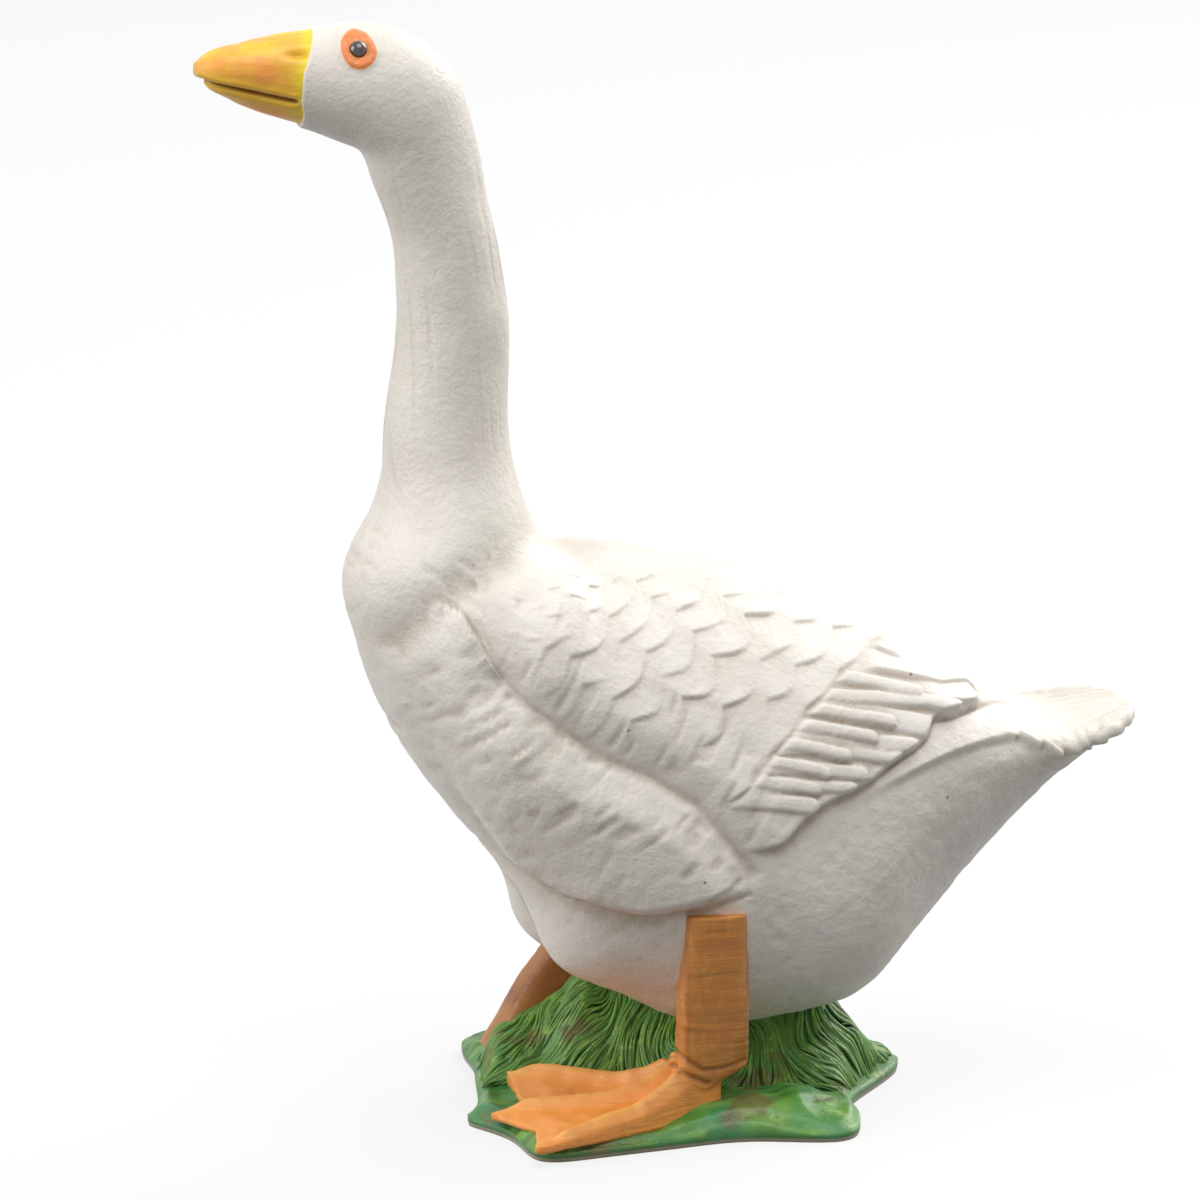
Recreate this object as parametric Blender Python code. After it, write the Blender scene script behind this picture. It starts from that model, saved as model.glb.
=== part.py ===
"""Goose figurine on a grass base, moulded in one piece.

The goose looks along -X and its left side faces -Y. The underside of the base
is the plane Z = 0, with the origin under the middle of the bird.
"""
import math

import bmesh
import bpy
import numpy as np

MM = 0.001

# Driving sizes, in millimetres.
BIRD_LENGTH = 59.75         # tip of the bill to tip of the tail
BIRD_WIDTH = 24.4           # across the belly
BIRD_HEIGHT = 64.25         # underside of the belly to the crown
BASE_LENGTH = 29.6
BASE_WIDTH = 27.6
BASE_THICKNESS = 1.2        # plate under the grass
BASE_RIM_ROUND = 0.5        # how much the plate's upper edge is rounded off
MOUND_HEIGHT = 1.3          # smooth mound at the front right of the plate
CLUMP_HEIGHT = 6.4          # grass clump above the plate, where it holds the belly
CLUMP_REACH = 6.5           # how far the clump spreads past its crown
UNDERCUT = 1.0              # depth below the underside that is trimmed off flat
GRASS_RELIEF = 0.55         # depth of the furrows between blades
LEG_LENGTH = 13.8           # plate to hip
LEG_WIDTH = 4.2             # fore and aft
LEG_THICKNESS = 3.0         # across
LEG_INSET = 6.9             # ankle, measured from the middle of the goose
LEFT_HIP_INSET = 10.9       # hip, measured the same way
RIGHT_HIP_INSET = 9.6
LEFT_HIP_X = -0.8
LEFT_ANKLE_X = 0.1
RIGHT_HIP_X = 1.7
STEP_FORWARD = 10.7         # how far the right ankle stands ahead of its hip
HEEL_LIFT = 0.55            # slope of the lower end of a leg, up towards the heel
HEEL = 0.8                  # a foot starts this far behind the middle of its leg
TOE_HEIGHT = 1.55           # toe ridge above the plate
WEB_HEIGHT = 0.55           # web between the toes above the plate
TOE_WIDTH = 1.5             # width of a toe ridge
LEFT_FOOT_LENGTH = 14.6     # ankle to the tip of the middle toe
RIGHT_FOOT_LENGTH = 3.4     # the part of the right foot that comes out of the grass
LEFT_HEADING = -8.5         # degrees that a middle toe turns out from straight ahead
RIGHT_HEADING = 20.0
TOE_SPLAY = 30.0            # degrees between neighbouring toes
WEB_NOTCH = 0.14            # how far the web is cut back between the toes, as a share of their length
EYE_RADIUS = 0.62
EYE_RING_RADIUS = 1.05
EYE_RING_RELIEF = 0.16
MOUTH_WIDTH = 0.22
MOUTH_DEPTH = 0.3
BILL_STEP = 0.16            # plumage stands proud of the bill by this much
WING_RELIEF = 0.85          # folded wing over the body
FLANK_RELIEF = 1.25         # flank feathers over the belly
THIGH_RELIEF = 1.9          # front of the thigh over the belly
CREASE_DEPTH = 0.3          # furrow between wing and flank
VALLEY_DEPTH = 0.45         # dip between the neck and the shoulder
TAIL_RIDGE_RELIEF = 0.35    # ridge along the side of the tail
NOSTRIL_DEPTH = 0.25
COVERT_RELIEF = 0.45        # free edge of a covert over the next row
COVERT_PITCH = 1.85         # from one row of coverts to the next
COVERT_WIDTH = 4.4
COVERT_ROWS = 11
BAR_RELIEF = 0.75           # free edge of a wing bar
LONG_EDGE_RELIEF = 0.4      # edge of a long feather that runs to the tail
TAIL_FEATHER_WIDTH = 1.5
TAIL_RELIEF = 0.3
TOE_END = 7.0               # degrees that the rounded end of an outer toe takes up
LEFT_ANKLE_RISE = 3.9       # how high the foot climbs up its leg
RIGHT_ANKLE_RISE = 2.4
LEG_INTO_BELLY = 1.2        # length of a leg that is hidden in the body

HIP_HEIGHT = BASE_THICKNESS + LEG_LENGTH

# Resolution of the modelled surface.
BODY_RINGS = 250
BODY_SEGMENTS = 116
SKIN_STEP = 0.2
FACE_BUDGET = 11900

# Sections from tail to bill. Each has the top and bottom point of the section
# in side view (X, and Z from the hip), its half width, how far its widest
# place lies below the middle, and how square it is (2 is an ellipse).
SECTIONS = (
    ((29.0, 9.2), (28.9, 8.75), 1.7, 0.00, 1.8),       # tail tip
    ((27.9, 9.2), (27.9, 8.0), 3.7, -0.35, 1.65),
    ((24.5, 8.8), (25.1, 5.8), 5.6, -0.48, 1.7),
    ((21.6, 9.7), (21.9, 2.7), 7.0, -0.48, 1.7),      # tail root
    ((16.9, 12.65), (18.0, -1.2), 9.2, -0.34, 1.8),
    ((11.8, 15.3), (14.2, -5.1), 10.9, -0.16, 1.9),   # vent
    ((6.5, 17.6), (10.6, -7.9), 11.9, 0.12, 2.1),
    ((1.3, 19.3), (5.2, -9.3), 12.2, 0.10, 2.1),      # belly
    ((-2.6, 20.2), (-0.4, -9.2), 12.0, 0.06, 2.1),
    ((-5.5, 20.7), (-6.4, -5.1), 11.7, 0.00, 2.1),
    ((-7.5, 20.9), (-11.3, 0.8), 11.1, -0.08, 2.1),
    ((-8.6, 21.5), (-16.4, 7.1), 10.2, -0.15, 2.1),   # breast
    ((-9.1, 21.9), (-19.5, 12.5), 9.0, -0.15, 2.05),
    ((-9.6, 23.1), (-21.25, 17.5), 7.6, -0.12, 2.0),
    ((-10.2, 24.6), (-21.5, 20.8), 6.4, -0.08, 2.0),
    ((-10.7, 26.2), (-20.1, 23.6), 5.3, -0.05, 2.0),
    ((-11.05, 28.1), (-19.2, 26.0), 4.4, 0.00, 2.0),  # root of the neck
    ((-11.2, 31.0), (-18.9, 29.6), 3.8, 0.00, 2.0),
    ((-11.1, 34.1), (-18.4, 33.6), 3.45, 0.00, 2.0),
    ((-11.3, 37.6), (-18.1, 37.6), 3.3, 0.00, 2.0),
    ((-11.8, 40.8), (-18.35, 40.8), 3.2, 0.00, 2.0),
    ((-12.45, 43.9), (-18.9, 43.3), 3.2, 0.05, 2.0),
    ((-12.9, 46.4), (-19.6, 45.1), 3.3, 0.10, 2.0),   # throat
    ((-13.5, 49.0), (-20.3, 46.8), 3.5, 0.10, 2.0),
    ((-14.5, 51.7), (-21.2, 47.4), 3.65, 0.05, 2.0),  # nape
    ((-16.8, 53.9), (-22.3, 47.9), 3.6, 0.00, 2.0),
    ((-19.4, 54.85), (-23.3, 48.35), 3.35, 0.00, 2.0),  # crown
    ((-21.9, 54.95), (-24.0, 48.6), 3.0, 0.00, 2.0),
    ((-23.8, 54.75), (-24.6, 48.85), 2.7, 0.00, 2.0),  # root of the bill
    ((-26.0, 54.5), (-26.5, 49.5), 2.35, -0.10, 2.0),
    ((-28.2, 54.05), (-28.4, 50.3), 1.95, -0.10, 2.0),
    ((-29.8, 53.65), (-29.8, 51.15), 1.45, -0.05, 2.0),
    ((-30.75, 53.0), (-30.7, 51.95), 0.8, 0.00, 2.0),  # bill tip
)

# Lines on the side of the bird, in X and Z from the hip.
CREASE = (
    (-14.0, 15.5), (-12.9, 14.2), (-10.7, 12.5), (-8.1, 10.6), (-5.0, 9.2), (-2.3, 7.4), (0.0, 4.6), (1.2, 3.0),
)
FLANK_EDGE = (
    (1.2, 3.0), (1.2, 1.4), (-1.9, 0.4), (-5.3, -0.1), (-9.4, 1.0), (-12.5, 2.8), (-17.5, 9.5), (-21.5, 15.0),
)
BREAST_FRONT = ((-24.0, 17.0), (-24.0, 22.0), (-16.0, 19.5))
BILL_ROOT = ((-23.1, 55.5), (-24.1, 53.4), (-24.55, 51.5), (-24.1, 48.0))
BILL_FRONT = ((-40.0, 48.0), (-40.0, 60.0))
MOUTH = ((-30.6, 51.75), (-28.0, 51.2), (-24.9, 50.5))
EYE = (-21.05, 53.65)
NOSTRIL = (-25.2, 52.5)
NOSTRIL_REACH = (0.8, 0.35)
VALLEY = ((-11.2, 22.8), (-13.9, 22.0), (-16.3, 20.7), (-17.8, 19.4), (-19.6, 17.4))
THIGH = (-7.6, 4.4, -3.0)
THIGH_REACH = (3.6, 4.2, 3.6)
TRUNK_TOP = 24.5            # relief of wing and tail stays below this height
HEAD_BOTTOM = 45.0          # relief of the head stays above it

# Lines on the back and wing, in X and in distance down from the spine.
WING_REAR = (
    (0.4, 22.4), (2.8, 21.2), (4.4, 19.5), (6.5, 17.4), (8.7, 15.8), (10.5, 13.7), (12.4, 11.7), (13.2, 10.1),
    (16.0, 7.7), (20.4, 3.3), (21.2, 0.0),
)
SHOULDER = ((-8.0, 0.0), (-12.0, 5.5), (-15.0, 10.0), (-14.6, 14.0))
TAIL_RIDGE_START = 9.0
COVERT_LAST = 15.0          # X on the spine of the row where the bars begin
COVERT_SLOPE = 51.0         # degrees that the rows fall
COVERT_AIM = 35.0           # degrees that their feathers point down
# Wing bars, each with its root, its tip, its width and how proud it is.
WING_BARS = (
    ((8.4, 9.3), (12.9, 8.0), 1.15, 1.0),
    ((7.1, 11.0), (15.5, 7.9), 1.1, 0.9),
    ((6.0, 12.1), (10.9, 11.2), 1.05, 1.0),
    ((4.7, 13.5), (9.5, 12.6), 1.05, 1.0),
    ((3.8, 14.7), (7.7, 14.4), 1.0, 1.0),
    ((2.9, 16.1), (6.2, 15.9), 1.05, 0.9),
    ((1.9, 17.3), (5.4, 17.1), 1.1, 0.75),
    ((1.2, 18.6), (4.9, 18.5), 1.2, 0.55),
    ((10.6, 10.8), (14.0, 10.0), 1.5, 0.6),
    ((9.0, 12.9), (12.3, 11.9), 1.2, 0.65),
    ((7.2, 14.4), (11.0, 13.3), 1.05, 0.6),
    ((5.8, 15.9), (8.7, 15.2), 1.05, 0.6),
    ((5.0, 17.2), (7.7, 16.5), 0.9, 0.5),
)
# Lower edges of the long feathers that close over the root of the tail.
LONG_EDGES = (
    ((9.9, 5.9), (12.1, 6.1)),
    ((9.5, 8.1), (12.5, 7.1), (16.3, 6.1), (20.0, 4.9)),
    ((12.7, 8.7), (15.3, 7.9), (18.4, 5.3), (21.5, 1.5)),
)

# Outline of the base, in X and Y.
BASE_OUTLINE = (
    (-13.6, -0.2), (-14.6, -2.4), (-12.9, -6.3), (-12.2, -11.0), (-8.1, -11.3), (-2.6, -10.6), (2.4, -10.5),
    (7.6, -11.8), (9.6, -8.4), (10.6, -4.1), (15.6, 2.6), (14.4, 6.2), (11.6, 10.5), (5.0, 14.6), (-3.0, 16.4),
    (-9.3, 16.0), (-11.2, 13.2), (-11.4, 9.6), (-12.2, 5.6),
)
BASE_CENTRE = (0.0, 1.0)
CLUMP_CROWN = ((-4.2, 5.6), (8.2, 1.8))
TUFT_CROWN = ((-4.2, 5.6), (-11.8, 5.4))
TUFT_REACH = 3.6
TUFT_SHARE = 0.26           # height of the tuft's far end, as a share of the clump's
MOUND_CENTRE = (2.6, -7.4)
MOUND_REACH = (8.0, 3.6)


def ease(low, high, value):
    """0 below low, 1 above high, smooth between."""
    t = np.clip((value - low) / (high - low), 0.0, 1.0)
    return t * t * (3.0 - 2.0 * t)


def spline(knots, values, at):
    """Natural cubic spline through the values, read at the given places."""
    count = len(knots)
    gap = np.diff(knots)
    matrix = np.eye(count)
    right = np.zeros(values.shape)
    for i in range(1, count - 1):
        matrix[i, i - 1:i + 2] = gap[i - 1], 2 * (gap[i - 1] + gap[i]), gap[i]
        right[i] = 6 * ((values[i + 1] - values[i]) / gap[i] - (values[i] - values[i - 1]) / gap[i - 1])
    bend = np.linalg.solve(matrix, right)
    j = np.clip(np.searchsorted(knots, at, side="right") - 1, 0, count - 2)
    step = (at - knots[j])[:, None]
    span = gap[j][:, None]
    slope = (values[j + 1] - values[j]) / span - span * (2 * bend[j] + bend[j + 1]) / 6
    return values[j] + step * slope + step ** 2 * bend[j] / 2 + step ** 3 * (bend[j + 1] - bend[j]) / (6 * span)


def line_distance(line, a, b):
    """Distance of each point (a, b) from a line of straight pieces."""
    best = np.full(a.shape, np.inf)
    for (a0, b0), (a1, b1) in zip(line, line[1:]):
        run = (a1 - a0, b1 - b0)
        along = ((a - a0) * run[0] + (b - b0) * run[1]) / (run[0] ** 2 + run[1] ** 2)
        along = np.clip(along, 0.0, 1.0)
        best = np.minimum(best, np.hypot(a - a0 - along * run[0], b - b0 - along * run[1]))
    return best


def inside(outline, a, b):
    """True for each point (a, b) inside the closed outline."""
    result = np.zeros(a.shape, dtype=bool)
    for (a0, b0), (a1, b1) in zip(outline, outline[1:] + outline[:1]):
        if b0 != b1:
            crosses = (b0 > b) != (b1 > b)
            result ^= crosses & (a < a0 + (b - b0) * (a1 - a0) / (b1 - b0))
    return result


def span(values):
    """Distance from the smallest value to the largest."""
    return max(values) - min(values)


def bird_scale():
    """Stretch in X, Y and Z that brings the sections to the named sizes of the bird."""
    ends = [point for section in SECTIONS for point in section[:2]]
    length = span([x for x, z in ends])
    height = span([z for x, z in ends])
    width = 2 * max(section[2] for section in SECTIONS)
    return np.array((BIRD_LENGTH / length, BIRD_WIDTH / width, BIRD_HEIGHT / height))


def body_grid():
    """Smooth surface of the bird, as rings of points, and the distance down from the spine."""
    rows = np.array([[*top, *low, half, drop, square] for top, low, half, drop, square in SECTIONS])
    steps = np.hypot(*np.diff(rows[:, 0:2], axis=0).T) + np.hypot(*np.diff(rows[:, 2:4], axis=0).T)
    knots = np.concatenate([[0.0], np.cumsum(steps / 2)])
    ring = spline(knots, rows, np.linspace(0.0, knots[-1], BODY_RINGS))
    angle = np.linspace(0.0, 2 * math.pi, BODY_SEGMENTS, endpoint=False)[None, :]
    power = 2.0 / ring[:, 6:7]
    height = np.sign(np.cos(angle)) * np.abs(np.cos(angle)) ** power
    width = np.sign(np.sin(angle)) * np.abs(np.sin(angle)) ** power
    height = height - ring[:, 5:6] * (1.0 - height ** 2)
    centre = (ring[:, 0:2] + ring[:, 2:4]) / 2
    half = (ring[:, 0:2] - ring[:, 2:4]) / 2
    grid = np.empty((BODY_RINGS, BODY_SEGMENTS, 3))
    grid[..., 0] = centre[:, 0:1] + half[:, 0:1] * height
    grid[..., 1] = -np.maximum(ring[:, 4:5], 0.2) * width
    grid[..., 2] = centre[:, 1:2] + half[:, 1:2] * height
    way = np.linalg.norm(np.diff(grid, axis=1, append=grid[:, :1]), axis=2)
    down = np.concatenate([np.zeros((BODY_RINGS, 1)), np.cumsum(way, axis=1)[:, :-1]], axis=1)
    down = np.minimum(down, way.sum(axis=1, keepdims=True) - down)
    return grid, down


def grid_normals(grid):
    """Outward direction at each point of a ring grid."""
    around = np.roll(grid, -1, axis=1) - np.roll(grid, 1, axis=1)
    along = np.gradient(grid, axis=0)
    normal = np.cross(around, along)
    middle = grid.mean(axis=1, keepdims=True)
    if (normal * (grid - middle)).sum() < 0:
        normal = -normal
    return normal / np.maximum(np.linalg.norm(normal, axis=2, keepdims=True), 1e-9)


def feather(x, down, root, tip, width, relief, crown, blunt, keep):
    """One feather from root to tip: proud at its rounded tip, and sinking towards its root."""
    run = (tip[0] - root[0], tip[1] - root[1])
    length = math.hypot(*run)
    ca, sa = run[0] / length, run[1] / length
    back = (tip[0] - x) * ca + (tip[1] - down) * sa
    side = np.abs((down - tip[1]) * ca - (x - tip[0]) * sa)
    bow = np.clip(back / (blunt * width), 0.0, 1.0)
    half = 0.5 * width * np.sqrt(np.clip(1.0 - (1.0 - bow) ** 2, 0.0, 1.0))
    edge = ease(0.0, 0.22, np.minimum(half - side, back))
    rounding = np.sqrt(np.clip(1.0 - crown * (side / (0.5 * width)) ** 2, 0.0, 1.0))
    return relief * edge * rounding * (1.0 - (1.0 - keep) * np.clip(back / length, 0.0, 1.0))


def covert_relief(x, down):
    """Overlapping rows of broad feathers on the shoulder and the folded wing."""
    relief = np.zeros(x.shape)
    fall, aim = math.radians(COVERT_SLOPE), math.radians(COVERT_AIM)
    length = 3.0 * COVERT_PITCH
    for row in range(COVERT_ROWS):
        start = COVERT_LAST - row * COVERT_PITCH / math.sin(fall)
        place = 0.5 * COVERT_WIDTH * (row % 2) + 0.8
        while place < 28.0:
            tip = (start - place * math.cos(fall), place * math.sin(fall))
            root = (tip[0] - length * math.cos(aim), tip[1] - length * math.sin(aim))
            one = feather(x, down, root, tip, 1.05 * COVERT_WIDTH, COVERT_RELIEF, 0.2, 0.2, 0.15)
            relief = np.maximum(relief, one)
            place += COVERT_WIDTH
    return relief * (0.4 + 0.6 * ease(1.0, 4.5, down))


def edge_relief(x, down, line, depth, fade):
    """Surface that stands proud on the spine's side of a line and drops at it."""
    xs, ts = zip(*line)
    above = np.interp(x, xs, ts) - down
    ends = ease(xs[0] - 0.6, xs[0] + 0.6, x) * ease(xs[-1] + 0.6, xs[-1] - 0.6, x)
    return depth * ends * ease(-0.1, 0.15, above) * np.exp(-np.maximum(above, 0.0) / fade)


def bar_relief(x, down):
    """Narrow bars of the folded wing, and the long feathers to the tail."""
    relief = np.zeros(x.shape)
    for root, tip, width, proud in WING_BARS:
        run = np.subtract(tip, root)
        root = np.subtract(root, 0.5 * run / np.hypot(*run))
        one = feather(x, down, root, tip, width, proud * BAR_RELIEF, 0.6, 0.45, 0.55)
        relief = np.maximum(relief, one)
    for line in LONG_EDGES:
        relief = np.maximum(relief, edge_relief(x, down, line, LONG_EDGE_RELIEF, 1.6))
    return relief


def tail_relief(x, down):
    """Long feathers of the tail, side by side."""
    root, tip = SECTIONS[3][0][0], SECTIONS[0][0][0]
    fan = down / (0.35 + 0.65 * ease(tip + 3.0, root, x))
    ridge = np.abs(np.cos(math.pi * fan / TAIL_FEATHER_WIDTH)) ** 0.7
    return TAIL_RELIEF * ridge * ease(root - 1.5, root + 2.0, x) * (1.0 - ease(7.0, 10.0, down))


def ridge_relief(x, down):
    """Side ridge of the tail: it sinks slowly towards the spine and quickly towards the belly."""
    widest = down[:, BODY_SEGMENTS // 4][:, None]
    above = widest - down
    fall = np.where(above > 0.0, np.exp(-np.abs(above) / 1.6), np.exp(-(above / 0.6) ** 2))
    return TAIL_RIDGE_RELIEF * fall * ease(TAIL_RIDGE_START, TAIL_RIDGE_START + 8.0, x)


def body_relief(grid, down):
    """How far the carved surface stands off the smooth one."""
    x, z = grid[..., 0], grid[..., 2]
    on_trunk = z < TRUNK_TOP
    wing_edge = WING_REAR + ((WING_REAR[-1][0], -1.0), (SHOULDER[0][0], -1.0)) + SHOULDER
    in_wing = inside(wing_edge + (WING_REAR[0],), x, down) & on_trunk
    crease = line_distance(CREASE, x, z)
    rear = line_distance(WING_REAR, x, down)
    shoulder = line_distance(SHOULDER, x, down)
    below = inside(CREASE + FLANK_EDGE[1:] + BREAST_FRONT, x, z)
    above = in_wing & ~below
    open_wing = above * ease(0.0, 3.5, shoulder) * ease(0.0, 1.6, crease)
    rear_step = 0.5 + 6.0 * (1.0 - ease(2.5, 8.0, down))
    relief = WING_RELIEF * open_wing * ease(0.0, rear_step, rear)
    flank = below * ease(0.0, 1.9, crease) * ease(0.0, 1.5, line_distance(FLANK_EDGE, x, z))
    relief = relief + FLANK_RELIEF * flank * ease(-18.5, -12.5, x)
    relief = relief - CREASE_DEPTH * np.exp(-(crease / 1.1) ** 2) * on_trunk * (down < 30.0)
    split = COVERT_LAST - down / math.tan(math.radians(COVERT_SLOPE))
    coverts = covert_relief(x, down) * open_wing * ease(0.0, 0.9, rear)
    bars = bar_relief(x, down) * open_wing * ease(0.0, 0.3, rear)
    relief = relief + np.where(x < split, np.maximum(coverts, 0.3 * bars), np.maximum(coverts, bars))
    relief = relief + tail_relief(x, down) * ~in_wing
    relief = relief + ridge_relief(x, down) * on_trunk * ~above
    relief = relief - VALLEY_DEPTH * np.exp(-(line_distance(VALLEY, x, z) / 1.3) ** 2) * (down > 2.0)
    place = (x, np.abs(grid[..., 1]), z)
    thigh = sum(((p - at) / reach) ** 2 for p, at, reach in zip(place, THIGH, THIGH_REACH))
    relief = relief + THIGH_RELIEF * np.exp(-thigh)
    return relief + head_relief(x, z)


def head_relief(x, z):
    """Eye rims, the mouth and the step where the bill leaves the plumage."""
    on_head = z > HEAD_BOTTOM
    eye = np.hypot(x - EYE[0], z - EYE[1])
    rim = EYE_RING_RELIEF * np.exp(-((eye - 0.78 * EYE_RING_RADIUS) / 0.28) ** 2)
    bill = inside(BILL_ROOT + BILL_FRONT, x, z)
    step = BILL_STEP * bill * ease(0.0, 0.3, line_distance(BILL_ROOT, x, z))
    mouth = MOUTH_DEPTH * np.exp(-(line_distance(MOUTH, x, z) / MOUTH_WIDTH) ** 2)
    away = np.hypot((x - NOSTRIL[0]) / NOSTRIL_REACH[0], (z - NOSTRIL[1]) / NOSTRIL_REACH[1])
    nostril = NOSTRIL_DEPTH * np.exp(-away ** 2)
    return (rim - step - (mouth + nostril) * ease(-24.6, -25.0, x)) * on_head


def add_mesh(name, points, faces):
    """Object from points in millimetres, with its faces pointing out."""
    shape = bmesh.new()
    corners = [shape.verts.new(tuple(float(c) * MM for c in p)) for p in points]
    for face in faces:
        shape.faces.new([corners[i] for i in face])
    if shape.calc_volume(signed=True) < 0:
        bmesh.ops.reverse_faces(shape, faces=shape.faces)
    mesh = bpy.data.meshes.new(name)
    shape.to_mesh(mesh)
    shape.free()
    piece = bpy.data.objects.new(name, mesh)
    bpy.context.scene.collection.objects.link(piece)
    return piece


def tube(name, grid):
    """Closed body through rings of points, with a fan of faces over each end."""
    rings, count, _ = grid.shape
    points = list(grid.reshape(-1, 3)) + [grid[0].mean(axis=0), grid[-1].mean(axis=0)]
    faces = []
    for i in range(rings - 1):
        for j in range(count):
            k = (j + 1) % count
            faces.append((i * count + j, i * count + k, (i + 1) * count + k, (i + 1) * count + j))
    head, foot = rings * count, rings * count + 1
    last = (rings - 1) * count
    for j in range(count):
        k = (j + 1) % count
        faces.append((k, j, head))
        faces.append((last + j, last + k, foot))
    return add_mesh(name, points, faces)


def make_body():
    grid, down = body_grid()
    grid = grid + grid_normals(grid) * body_relief(grid, down)[..., None]
    grid = grid * bird_scale()
    grid[..., 2] += HIP_HEIGHT
    return tube("goose_figurine", grid)


def eye_place(side):
    """Point of the smooth head surface at the eye, on one side."""
    grid, _ = body_grid()
    half = grid[:, 1:BODY_SEGMENTS // 2]
    miss = np.hypot(half[..., 0] - EYE[0], half[..., 2] - EYE[1])
    spot = half[np.unravel_index(np.argmin(miss), miss.shape)]
    x, y, z = np.array((EYE[0], side * abs(spot[1]), EYE[1])) * bird_scale()
    return x, y, z + HIP_HEIGHT


def make_eye(name, side):
    x, y, z = eye_place(side)
    shape = bmesh.new()
    bmesh.ops.create_uvsphere(shape, u_segments=16, v_segments=10, radius=EYE_RADIUS * MM)
    bmesh.ops.translate(shape, verts=shape.verts, vec=(x * MM, (y - side * 0.42 * EYE_RADIUS) * MM, z * MM))
    mesh = bpy.data.meshes.new(name)
    shape.to_mesh(mesh)
    shape.free()
    piece = bpy.data.objects.new(name, mesh)
    bpy.context.scene.collection.objects.link(piece)
    return piece


def rounded_section(centre, half_x, half_y, count=28):
    """Level ring with flat sides and rounded corners."""
    angle = np.linspace(0.0, 2 * math.pi, count, endpoint=False)
    ring = np.empty((count, 3))
    ring[:, 0] = centre[0] + half_x * np.sign(np.cos(angle)) * np.abs(np.cos(angle)) ** 0.5
    ring[:, 1] = centre[1] + half_y * np.sign(np.sin(angle)) * np.abs(np.sin(angle)) ** 0.5
    ring[:, 2] = centre[2]
    return ring


def make_leg(name, side, ankle_x, hip_x, hip_inset):
    """Flat-sided leg from inside the belly down into the foot."""
    low, high = 0.5 * BASE_THICKNESS, HIP_HEIGHT + LEG_INTO_BELLY
    rings = []
    for share in np.linspace(0.0, 1.0, 12):
        rise = share ** 0.9
        x = ankle_x + (hip_x - ankle_x) * share
        y = side * (LEG_INSET + (hip_inset - LEG_INSET) * rise)
        waist = 1.0 - 0.06 * math.sin(math.pi * min(1.0, share * 1.4))
        centre = (x, y, low + (high - low) * share)
        ring = rounded_section(centre, waist * LEG_WIDTH / 2, waist * LEG_THICKNESS / 2)
        ring[:, 2] += HEEL_LIFT * (ring[:, 0] - x + LEG_WIDTH / 2) * (1.0 - ease(0.0, 0.3, share))
        rings.append(ring)
    return tube(name, np.array(rings))


def make_foot(name, side, ankle_x, heading, length, ankle_rise):
    """Webbed foot: three toes that fan from the ankle, with a web between them."""
    across, outward = 61, 26
    toe_at = (-TOE_SPLAY, 0.0, TOE_SPLAY)
    toe_long = (0.97, 1.0, 0.97)
    top, bottom = [], []
    for i in range(outward):
        share = i / (outward - 1)
        for j in range(across):
            turn = (TOE_SPLAY + TOE_END) * (2.0 * j / (across - 1) - 1.0)
            near = min(range(3), key=lambda n: abs(toe_at[n] - turn))
            gap = abs(toe_at[near] - turn)
            reach = length * toe_long[near] * (1.0 - WEB_NOTCH * min(1.0, gap / (0.5 * TOE_SPLAY)) ** 0.7)
            if abs(turn) > TOE_SPLAY:
                rounding = math.sqrt(max(1e-6, 1.0 - (gap / TOE_END) ** 2))
                reach = length * toe_long[near] * rounding
            way = 0.6 + (reach - 0.6) * share
            bearing = math.radians(heading + turn)
            offset = way * math.radians(gap)
            ridge = math.exp(-(offset / (0.5 * TOE_WIDTH)) ** 2)
            fall = 1.0 - 0.45 * share
            height = WEB_HEIGHT + (TOE_HEIGHT - WEB_HEIGHT) * ridge * fall
            height += (ankle_rise - WEB_HEIGHT) * math.exp(-(way / 3.8) ** 2)
            height *= 1.0 - 0.6 * ease(0.82, 1.0, share)
            x = ankle_x - way * math.cos(bearing)
            y = side * (LEG_INSET + way * math.sin(bearing))
            top.append((x, y, BASE_THICKNESS + height))
            bottom.append((x, y, 0.55 * BASE_THICKNESS))
    points = top + bottom
    half = len(top)
    faces = []
    for i in range(outward - 1):
        for j in range(across - 1):
            a, b = i * across + j, i * across + j + 1
            c, d = b + across, a + across
            faces.append((a, b, c, d))
            faces.append((half + d, half + c, half + b, half + a))
    rim = [i * across for i in range(outward)]
    rim += [(outward - 1) * across + j for j in range(1, across)]
    rim += [i * across + across - 1 for i in range(outward - 2, -1, -1)]
    rim += [j for j in range(across - 2, 0, -1)]
    for a, b in zip(rim, rim[1:] + rim[:1]):
        faces.append((b, a, half + a, half + b))
    return add_mesh(name, points, faces)


def base_radius(count):
    """Smooth outline of the base, as points around its centre."""
    natural = np.array([span([x for x, y in BASE_OUTLINE]), span([y for x, y in BASE_OUTLINE])])
    corners = np.array(BASE_OUTLINE + BASE_OUTLINE + BASE_OUTLINE) * (BASE_LENGTH, BASE_WIDTH) / natural
    knots = np.arange(len(corners), dtype=float)
    turns = len(BASE_OUTLINE)
    at = np.linspace(turns, 2 * turns, count, endpoint=False)
    return spline(knots, corners, at)


def tuft_height(x, y):
    """Height of the tuft that trails from the clump, as a share of the clump's own."""
    (x0, y0), (x1, y1) = TUFT_CROWN
    run_x, run_y = x1 - x0, y1 - y0
    out = np.clip(((x - x0) * run_x + (y - y0) * run_y) / (run_x ** 2 + run_y ** 2), 0.0, 1.0)
    side = 1.0 - ease(0.0, TUFT_REACH, line_distance(TUFT_CROWN, x, y))
    return (1.0 - (1.0 - TUFT_SHARE) * out) * side


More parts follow.
